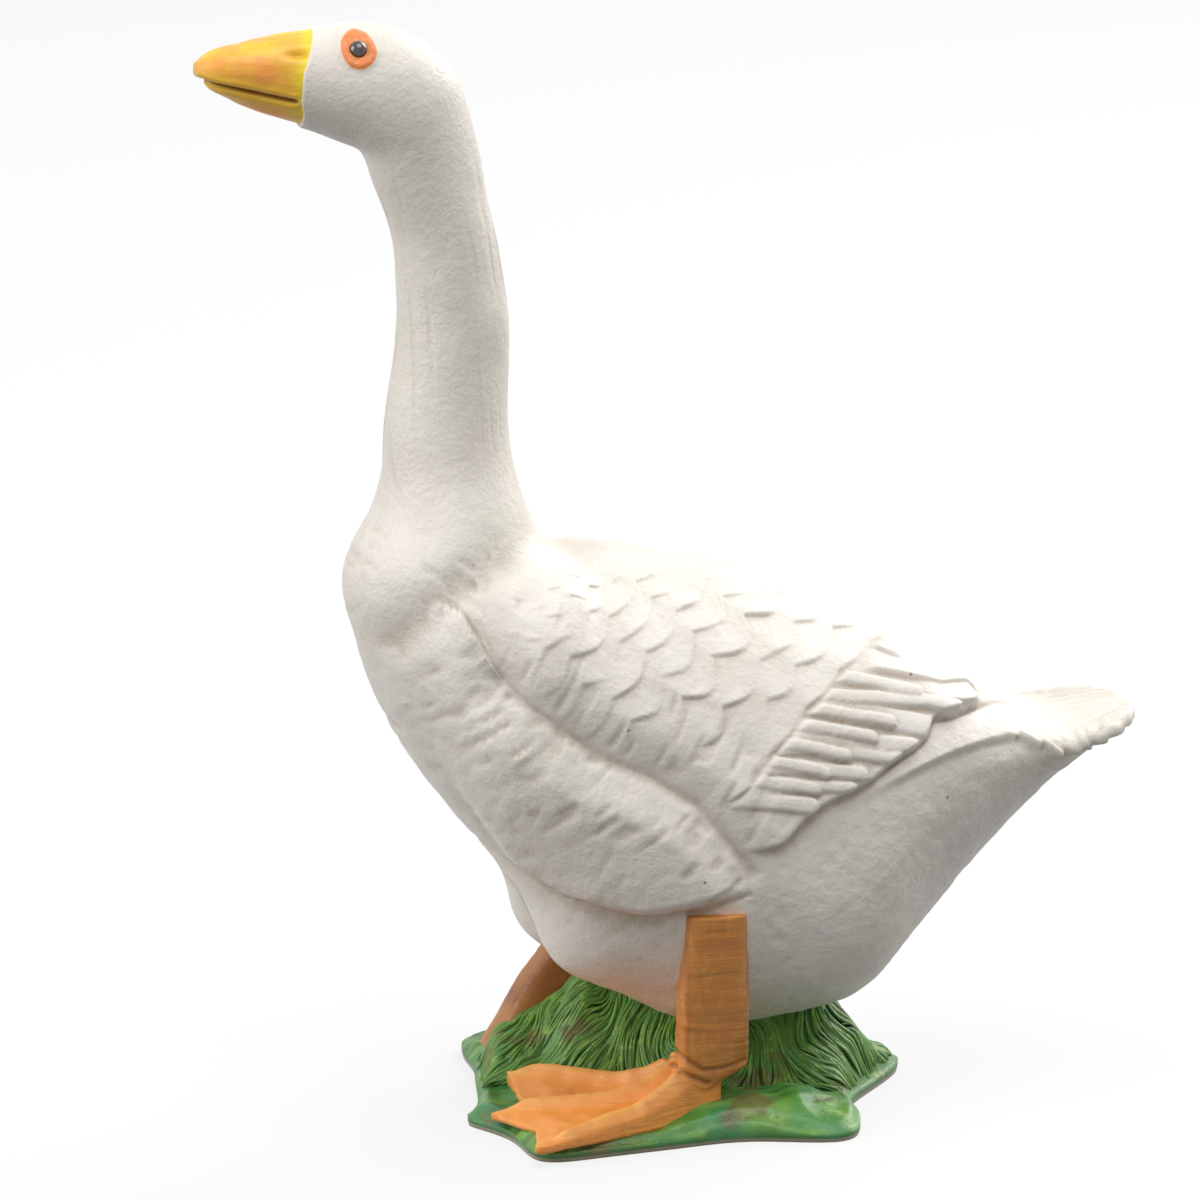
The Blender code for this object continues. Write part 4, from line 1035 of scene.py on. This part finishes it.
def fused(parts, voxel, rounds):
    """One skin over several closed shapes, as points, faces and point normals."""
    points, faces = [], []
    for part_points, part_faces in parts:
        offset = sum(len(p) for p in points)
        points.append(part_points)
        faces += [[offset + i for i in face] for face in part_faces]
    mesh = bpy.data.meshes.new("rough")
    mesh.from_pydata(np.concatenate(points), [], faces)
    rough = bpy.data.objects.new("rough", mesh)
    bpy.context.scene.collection.objects.link(rough)
    skin = rough.modifiers.new("skin", "REMESH")
    skin.mode = "VOXEL"
    skin.voxel_size = voxel
    relax = rough.modifiers.new("relax", "SMOOTH")
    relax.factor = 0.5
    relax.iterations = rounds
    depsgraph = bpy.context.evaluated_depsgraph_get()
    made = bpy.data.meshes.new_from_object(rough.evaluated_get(depsgraph))
    bpy.data.objects.remove(rough)
    count = len(made.vertices)
    co = np.empty(count * 3)
    normal = np.empty(count * 3)
    made.vertices.foreach_get("co", co)
    made.vertices.foreach_get("normal", normal)
    skin_faces = [tuple(face.vertices) for face in made.polygons]
    bpy.data.meshes.remove(made)
    return co.reshape(-1, 3), skin_faces, normal.reshape(-1, 3)


def make_leg(name, side, ankle_x, hip, foot, material):
    """Leg with its foot, wrinkled at the ankle and ridged along the toes."""
    heading, length, _ = foot
    parts = [leg_shape(side, ankle_x, *hip), foot_shape(side, ankle_x + HEEL, *foot)]
    points, faces, normal = fused(parts, 0.135, 5)
    x, y, z = points.T
    depth = np.zeros(len(points))
    for line in ANKLE_FOLDS if side < 0 else ():
        away = line_distance(tuple((ankle_x + a, b) for a, b in line), x, z)
        depth += 0.2 * np.exp(-(away / 0.16) ** 2)
    up_leg = np.clip((z - ANKLE_HEIGHT) / (HIP_HEIGHT - ANKLE_HEIGHT), 0.0, 1.0)
    middle = ankle_x + (hip[0] - ankle_x) * up_leg
    rim = np.exp(-((np.abs(x - middle) / LEG_WIDTH - 0.47) / 0.04) ** 2) * ease(4.5, 6.0, z)
    wrinkle = grain(z / 0.34 + 0.5 * grain(x / 2.0, z / 2.0, 41), (x + y) / 6.0, 42) * ease(4.0, 7.0, z)
    toe_lines = []
    for splay in (-TOE_SPLAY, 0.0, TOE_SPLAY):
        bearing = math.radians(heading + splay)
        tip = (ankle_x + HEEL - length * math.cos(bearing), side * (LEG_INSET + length * math.sin(bearing)))
        toe_lines.append(line_distance(((ankle_x + HEEL, side * LEG_INSET), tip), x, y))
    toe = np.min(toe_lines, axis=0)
    proud = np.exp(-(toe / 0.5) ** 2) * (1.0 - ease(4.0, 5.5, z)) * ease(1.3, 1.9, z)
    valley = ease(0.9, 1.6, toe) * (1.0 - ease(3.5, 5.0, z)) * ease(7.5, 3.5, ankle_x + HEEL - x)
    lumps = grain(x / 0.8, y / 0.8, 43) * (1.0 - ease(3.0, 5.0, z))
    move = 0.035 * wrinkle + 0.05 * lumps - depth
    points = points + normal * move[:, None]
    # Painted shadow of the body over the right leg, laid on as brown.
    wash_and_shade = RIGHT_LEG_PAINTED_SHADOW if side > 0 else 0.0
    # Brown in the ankle folds, between the toes and along the leg's front and back edges: a wash with painted
    # shade in it.
    dark_wash_and_shade = np.clip(depth / 0.25 + 0.6 * valley + 0.6 * rim + wash_and_shade, 0.0, 1.0)
    marks = {"dark_wash_and_shade": dark_wash_and_shade, "proud": proud, "level": z}
    return new_piece(name, points, faces, marks, material)


def base_edge(count):
    """Smooth outline of the base, as points around its centre."""
    corners = np.array(BASE_OUTLINE)
    corners = corners * (BASE_LENGTH, BASE_WIDTH) / np.ptp(corners, axis=0)
    turns = len(corners)
    knots = np.arange(3 * turns, dtype=float)
    return spline(knots, np.concatenate([corners] * 3), np.linspace(turns, 2 * turns, count, endpoint=False))


def clump_share(x, y):
    """Height of the grass clump and of the tuft that trails from it, 0 to 1."""
    (x0, y0), (x1, y1) = TUFT_CROWN
    run_x, run_y = x1 - x0, y1 - y0
    out = np.clip(((x - x0) * run_x + (y - y0) * run_y) / (run_x ** 2 + run_y ** 2), 0.0, 1.0)
    side = 1.0 - ease(0.0, TUFT_REACH, line_distance(TUFT_CROWN, x, y))
    tuft = (1.0 - (1.0 - TUFT_SHARE) * out) * side
    return np.maximum(1.0 - ease(0.0, CLUMP_REACH, line_distance(CLUMP_CROWN, x, y)), tuft)


def ground_height(x, y, share):
    """Top of the base: plate, rounded rim, mound and grass clump."""
    height = BASE_THICKNESS - BASE_RIM_ROUND * ease(0.93, 1.0, share) ** 1.5
    mound = np.hypot((x - MOUND_CENTRE[0]) / MOUND_REACH[0], (y - MOUND_CENTRE[1]) / MOUND_REACH[1])
    height = height + MOUND_HEIGHT * (1.0 - ease(0.3, 1.15, mound))
    inner = 1.0 - ease(0.88, 1.0, share)
    return height + (CLUMP_HEIGHT * clump_share(x, y) + 0.24 * grain(x / 1.3, y / 1.3, 51)) * inner


def make_ground(material):
    """Plate of the base with its mound, over a flat underside."""
    around, rings = 300, 90
    edge = base_edge(around)
    middle = np.array(BASE_CENTRE)
    share = np.sin(0.5 * math.pi * np.arange(1, rings + 1) / rings)
    spot = middle + (edge[None] - middle) * share[:, None, None]
    x, y = spot[..., 0], spot[..., 1]
    height = ground_height(x, y, share[:, None])
    cuts = strokes(x, y, 24.0, 0.5, 2.6, 52)
    height = height - 0.1 * cuts * (1.0 - ease(0.9, 1.0, share[:, None]))
    top = np.concatenate([spot, height[..., None]], axis=-1)
    side = np.concatenate([edge * 1.0, np.full((around, 1), 0.35)], axis=-1)[None]
    foot = np.concatenate([middle + (edge - middle) * 0.995, np.zeros((around, 1))], axis=-1)[None]
    grid = np.concatenate([top, side, foot])
    mound = grain(x / 1.8, y / 1.2, 53)
    marks = {
        # Brown wash with painted shade in the stroke cuts.
        "dark_wash_and_shade": np.concatenate([0.7 * cuts, np.zeros((2, around))]),
        "proud": np.concatenate([ease(-0.2, 0.6, mound), np.zeros((2, around))]),
        "shade": np.concatenate([0.5 + 0.5 * grain(x / 2.5, y / 2.5, 54), np.zeros((2, around))]),
    }
    piece = loft_piece("grass_ground", grid, marks, material, start_cap=True, end_cap=True)
    return piece


def combed(spot, waves):
    """Heading of the grass at each place: down the clump, along the tuft, in waves that neighbours share."""
    x, y = spot.T
    step = 0.4
    down_x = clump_share(x - step, y) - clump_share(x + step, y)
    down_y = clump_share(x, y - step) - clump_share(x, y + step)
    (x0, y0), (x1, y1) = TUFT_CROWN
    along = ease(x0 + 3.0, x0 - 1.5, x) * ease(TUFT_REACH + 1.5, 1.0, line_distance(TUFT_CROWN, x, y))
    slide = 0.16 * along / math.hypot(x1 - x0, y1 - y0)
    middle = np.mean(CLUMP_CROWN, axis=0)
    down_x = down_x + slide * (x1 - x0) + 0.003 * (x - middle[0])
    down_y = down_y + slide * (y1 - y0 - 1.5) + 0.003 * (y - middle[1])
    sway = waves * (0.95 * grain(x / 2.6 + 9.0, y / 2.6 + 9.0, 55) + 0.55 * grain(x / 1.1, y / 1.1, 56))
    return np.arctan2(down_y, down_x) + sway


def reach_out(spot, edge, middle):
    """How far out towards the outline of the base each place lies, 1 on the outline."""
    way = spot - middle
    rim = edge - middle
    bearing, rim_bearing = np.arctan2(way[:, 1], way[:, 0]), np.arctan2(rim[:, 1], rim[:, 0])
    radius = np.interp(bearing, rim_bearing, np.hypot(*rim.T), period=2 * math.pi)
    return np.hypot(*way.T) / radius


def comb_paths(spot, length, lean, edge, middle, steps):
    """Paths of blades that start at the given places and follow the combing."""
    path = []
    for _ in range(steps):
        height = ground_height(spot[:, 0], spot[:, 1], reach_out(spot, edge, middle))
        path.append(np.column_stack([spot, height]))
        heading = combed(spot, 1.0) + lean
        spot = spot + (length / steps)[:, None] * np.column_stack([np.cos(heading), np.sin(heading)])
    return np.array(path)


def make_blades(name, count, seed, left, material):
    """Fine combed blades of grass on one side of the clump."""
    rng = np.random.default_rng(seed)
    edge, middle = base_edge(360), np.array(BASE_CENTRE)
    steps, sides = 10, 5
    spot = rng.uniform((-13.0, -9.0), (15.0, 16.0), (20 * count, 2))
    share = clump_share(spot[:, 0], spot[:, 1])
    fits = (share > 0.1) & (reach_out(spot, edge, middle) < 0.9) & ((spot[:, 0] < 0.5) == left)
    spot = spot[fits][:count]
    length = rng.uniform(2.6, 5.6, len(spot))
    lean = rng.normal(0.0, 0.07, len(spot))
    path = comb_paths(spot, length, lean, edge, middle, steps)
    reach = np.array([reach_out(row[:, :2], edge, middle) for row in path])
    kept = (reach < 0.97).cumprod(axis=0).sum(axis=0) / steps
    fits = kept > 0.4
    spot, length, lean = spot[fits], (length * kept)[fits], lean[fits]
    path = comb_paths(spot, length, lean, edge, middle, steps).transpose(1, 0, 2)
    wide = rng.uniform(0.09, 0.17, len(path))[:, None, None]
    along = np.linspace(0.0, 1.0, steps)
    path[..., 2] += rng.uniform(-0.04, 0.16, len(path))[:, None] + 0.14 * np.sin(math.pi * along)
    tangent = np.gradient(path, axis=1)
    tangent /= np.linalg.norm(tangent, axis=2, keepdims=True)
    across = np.cross(tangent, (0.0, 0.0, 1.0))
    across /= np.linalg.norm(across, axis=2, keepdims=True)
    up = np.cross(across, tangent)
    taper = np.clip(np.sin(math.pi * (0.1 + 0.9 * along)), 0.05, 1.0)[None, :, None] ** 0.55
    angle = np.linspace(0.0, 2 * math.pi, sides, endpoint=False) + 0.5 * math.pi
    round_x, round_z = np.cos(angle)[None, None, :, None], np.sin(angle)[None, None, :, None]
    spoke = across[:, :, None] * round_x + up[:, :, None] * round_z
    ring = path[:, :, None] + (wide * taper)[..., None] * spoke
    blades = len(path)
    points = ring.reshape(-1, 3)
    one = np.array(ring_faces(steps, sides, False, False))
    faces = (one[None] + steps * sides * np.arange(blades)[:, None, None]).reshape(-1, 4).tolist()
    # Painted highlight: the top of each blade is marked to take the light yellow-green.
    top = np.tile(np.clip(np.sin(angle), 0.0, 1.0), blades * steps)
    # Painted shade: the underside of each blade is marked to take the dark green-brown.
    low = np.tile(np.clip(0.3 - np.sin(angle), 0.0, 1.0), blades * steps)
    shade = np.repeat(rng.uniform(0.0, 1.0, blades), steps * sides)
    marks = {"proud": top, "dark_wash_and_shade": low, "shade": shade}
    return new_piece(name, points, faces, marks, material)


def make_floor():
    """Pale studio floor that keeps the soft shadow of the figurine."""
    size = 1500.0
    mesh = bpy.data.meshes.new("studio_floor")
    corners = [(a * size * MM, b * size * MM, 0.0) for a, b in ((-1, -1), (1, -1), (1, 1), (-1, 1))]
    mesh.from_pydata(corners, [], [(0, 1, 2, 3)])
    floor = bpy.data.objects.new("studio_floor", mesh)
    bpy.context.scene.collection.objects.link(floor)
    material, tree, shader = paint("studio_floor", 0.9)
    shader.inputs["Base Color"].default_value = srgb(*FLOOR_TONE)
    seen = add(tree, "ShaderNodeLightPath")
    white = maths(tree, "MAXIMUM", seen.outputs["Is Camera Ray"], seen.outputs["Is Glossy Ray"])
    white = maths(tree, "MAXIMUM", white, seen.outputs["Is Transmission Ray"])
    strength = times(tree, white, FLOOR_GLOW)
    glow = add(tree, "ShaderNodeEmission", {"Color": (1.0, 1.0, 1.0, 1.0), "Strength": strength})
    both = add(tree, "ShaderNodeAddShader", {0: shader.outputs[0], 1: glow.outputs[0]})
    tree.links.new(both.outputs[0], tree.nodes["Material Output"].inputs["Surface"])
    mesh.materials.append(material)


def make_world():
    """Soft even light, and a white background where the camera sees past the floor."""
    world = bpy.data.worlds.new("studio")
    bpy.context.scene.world = world
    world.use_nodes = True
    tree = world.node_tree
    tree.nodes.clear()
    seen = add(tree, "ShaderNodeLightPath")
    white = maths(tree, "MAXIMUM", seen.outputs["Is Camera Ray"], seen.outputs["Is Glossy Ray"])
    white = maths(tree, "MAXIMUM", white, seen.outputs["Is Transmission Ray"])
    strength = ramp(tree, white, 0.0, 1.0, WORLD_LIGHT, 1.0)
    light = add(tree, "ShaderNodeBackground", {"Color": (1.0, 1.0, 1.0, 1.0), "Strength": strength})
    add(tree, "ShaderNodeOutputWorld", {"Surface": light.outputs[0]})


def make_lamp(name, azimuth, elevation, distance, width, power):
    """Square soft box that faces the figurine."""
    lamp = bpy.data.lights.new(name, "AREA")
    lamp.shape = "SQUARE"
    lamp.size = width
    lamp.energy = power
    box = bpy.data.objects.new(name, lamp)
    bpy.context.scene.collection.objects.link(box)
    aim_at_figurine(box, azimuth, elevation, distance)


def aim_at_figurine(thing, azimuth, elevation, distance):
    """Place a lamp or the camera round the figurine and turn it to face the middle."""
    a, e = math.radians(azimuth), math.radians(elevation)
    back = Vector((math.sin(a) * math.cos(e), -math.cos(a) * math.cos(e), math.sin(e)))
    thing.location = Vector(AIM) + back * distance
    thing.rotation_euler = (-back).to_track_quat("-Z", "Y").to_euler()


def make_camera():
    """Camera of the render."""
    camera = bpy.data.objects.new("camera", bpy.data.cameras.new("camera"))
    bpy.context.scene.collection.objects.link(camera)
    camera.data.sensor_width = CAMERA_SENSOR
    camera.data.lens = CAMERA_LENS
    camera.data.clip_start = 0.01
    aim_at_figurine(camera, CAMERA_AZIMUTH, CAMERA_ELEVATION, CAMERA_DISTANCE)
    bpy.context.scene.camera = camera


def main():
    """Every piece of the figurine, then floor, light and camera."""
    brush = make_brush_group()
    patches = make_patch_group()
    trunk = make_trunk(make_plumage_paint("plumage_paint", brush, patches, False))
    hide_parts("goose_figurine")
    make_neck(make_plumage_paint("head_paint", brush, patches, True))
    make_bill(make_bill_paint(brush))
    eye_paint = make_eye_paint()
    make_eye("eye_left", -1.0, eye_paint)
    make_eye("eye_right", 1.0, eye_paint)
    leg_paint = make_leg_paint(brush)
    make_leg("leg_left", -1.0, LEFT_ANKLE_X, (LEFT_HIP_X, LEFT_HIP_INSET), LEFT_FOOT, leg_paint)
    make_leg("leg_right", 1.0, RIGHT_ANKLE_X, (RIGHT_HIP_X, RIGHT_HIP_INSET), RIGHT_FOOT, leg_paint)
    make_ground(make_grass_paint("ground_paint", brush, 0.7))
    blade_paint = make_grass_paint("grass_paint", brush, 0.9)
    make_blades("grass_blades_left", LEFT_BLADES, 5, True, blade_paint)
    make_blades("grass_blades_right", RIGHT_BLADES, 6, False, blade_paint)
    make_floor()
    make_world()
    for box in SOFT_BOXES:
        make_lamp(*box)
    make_camera()


main()
bpy.context.scene.view_settings.view_transform = "Standard"
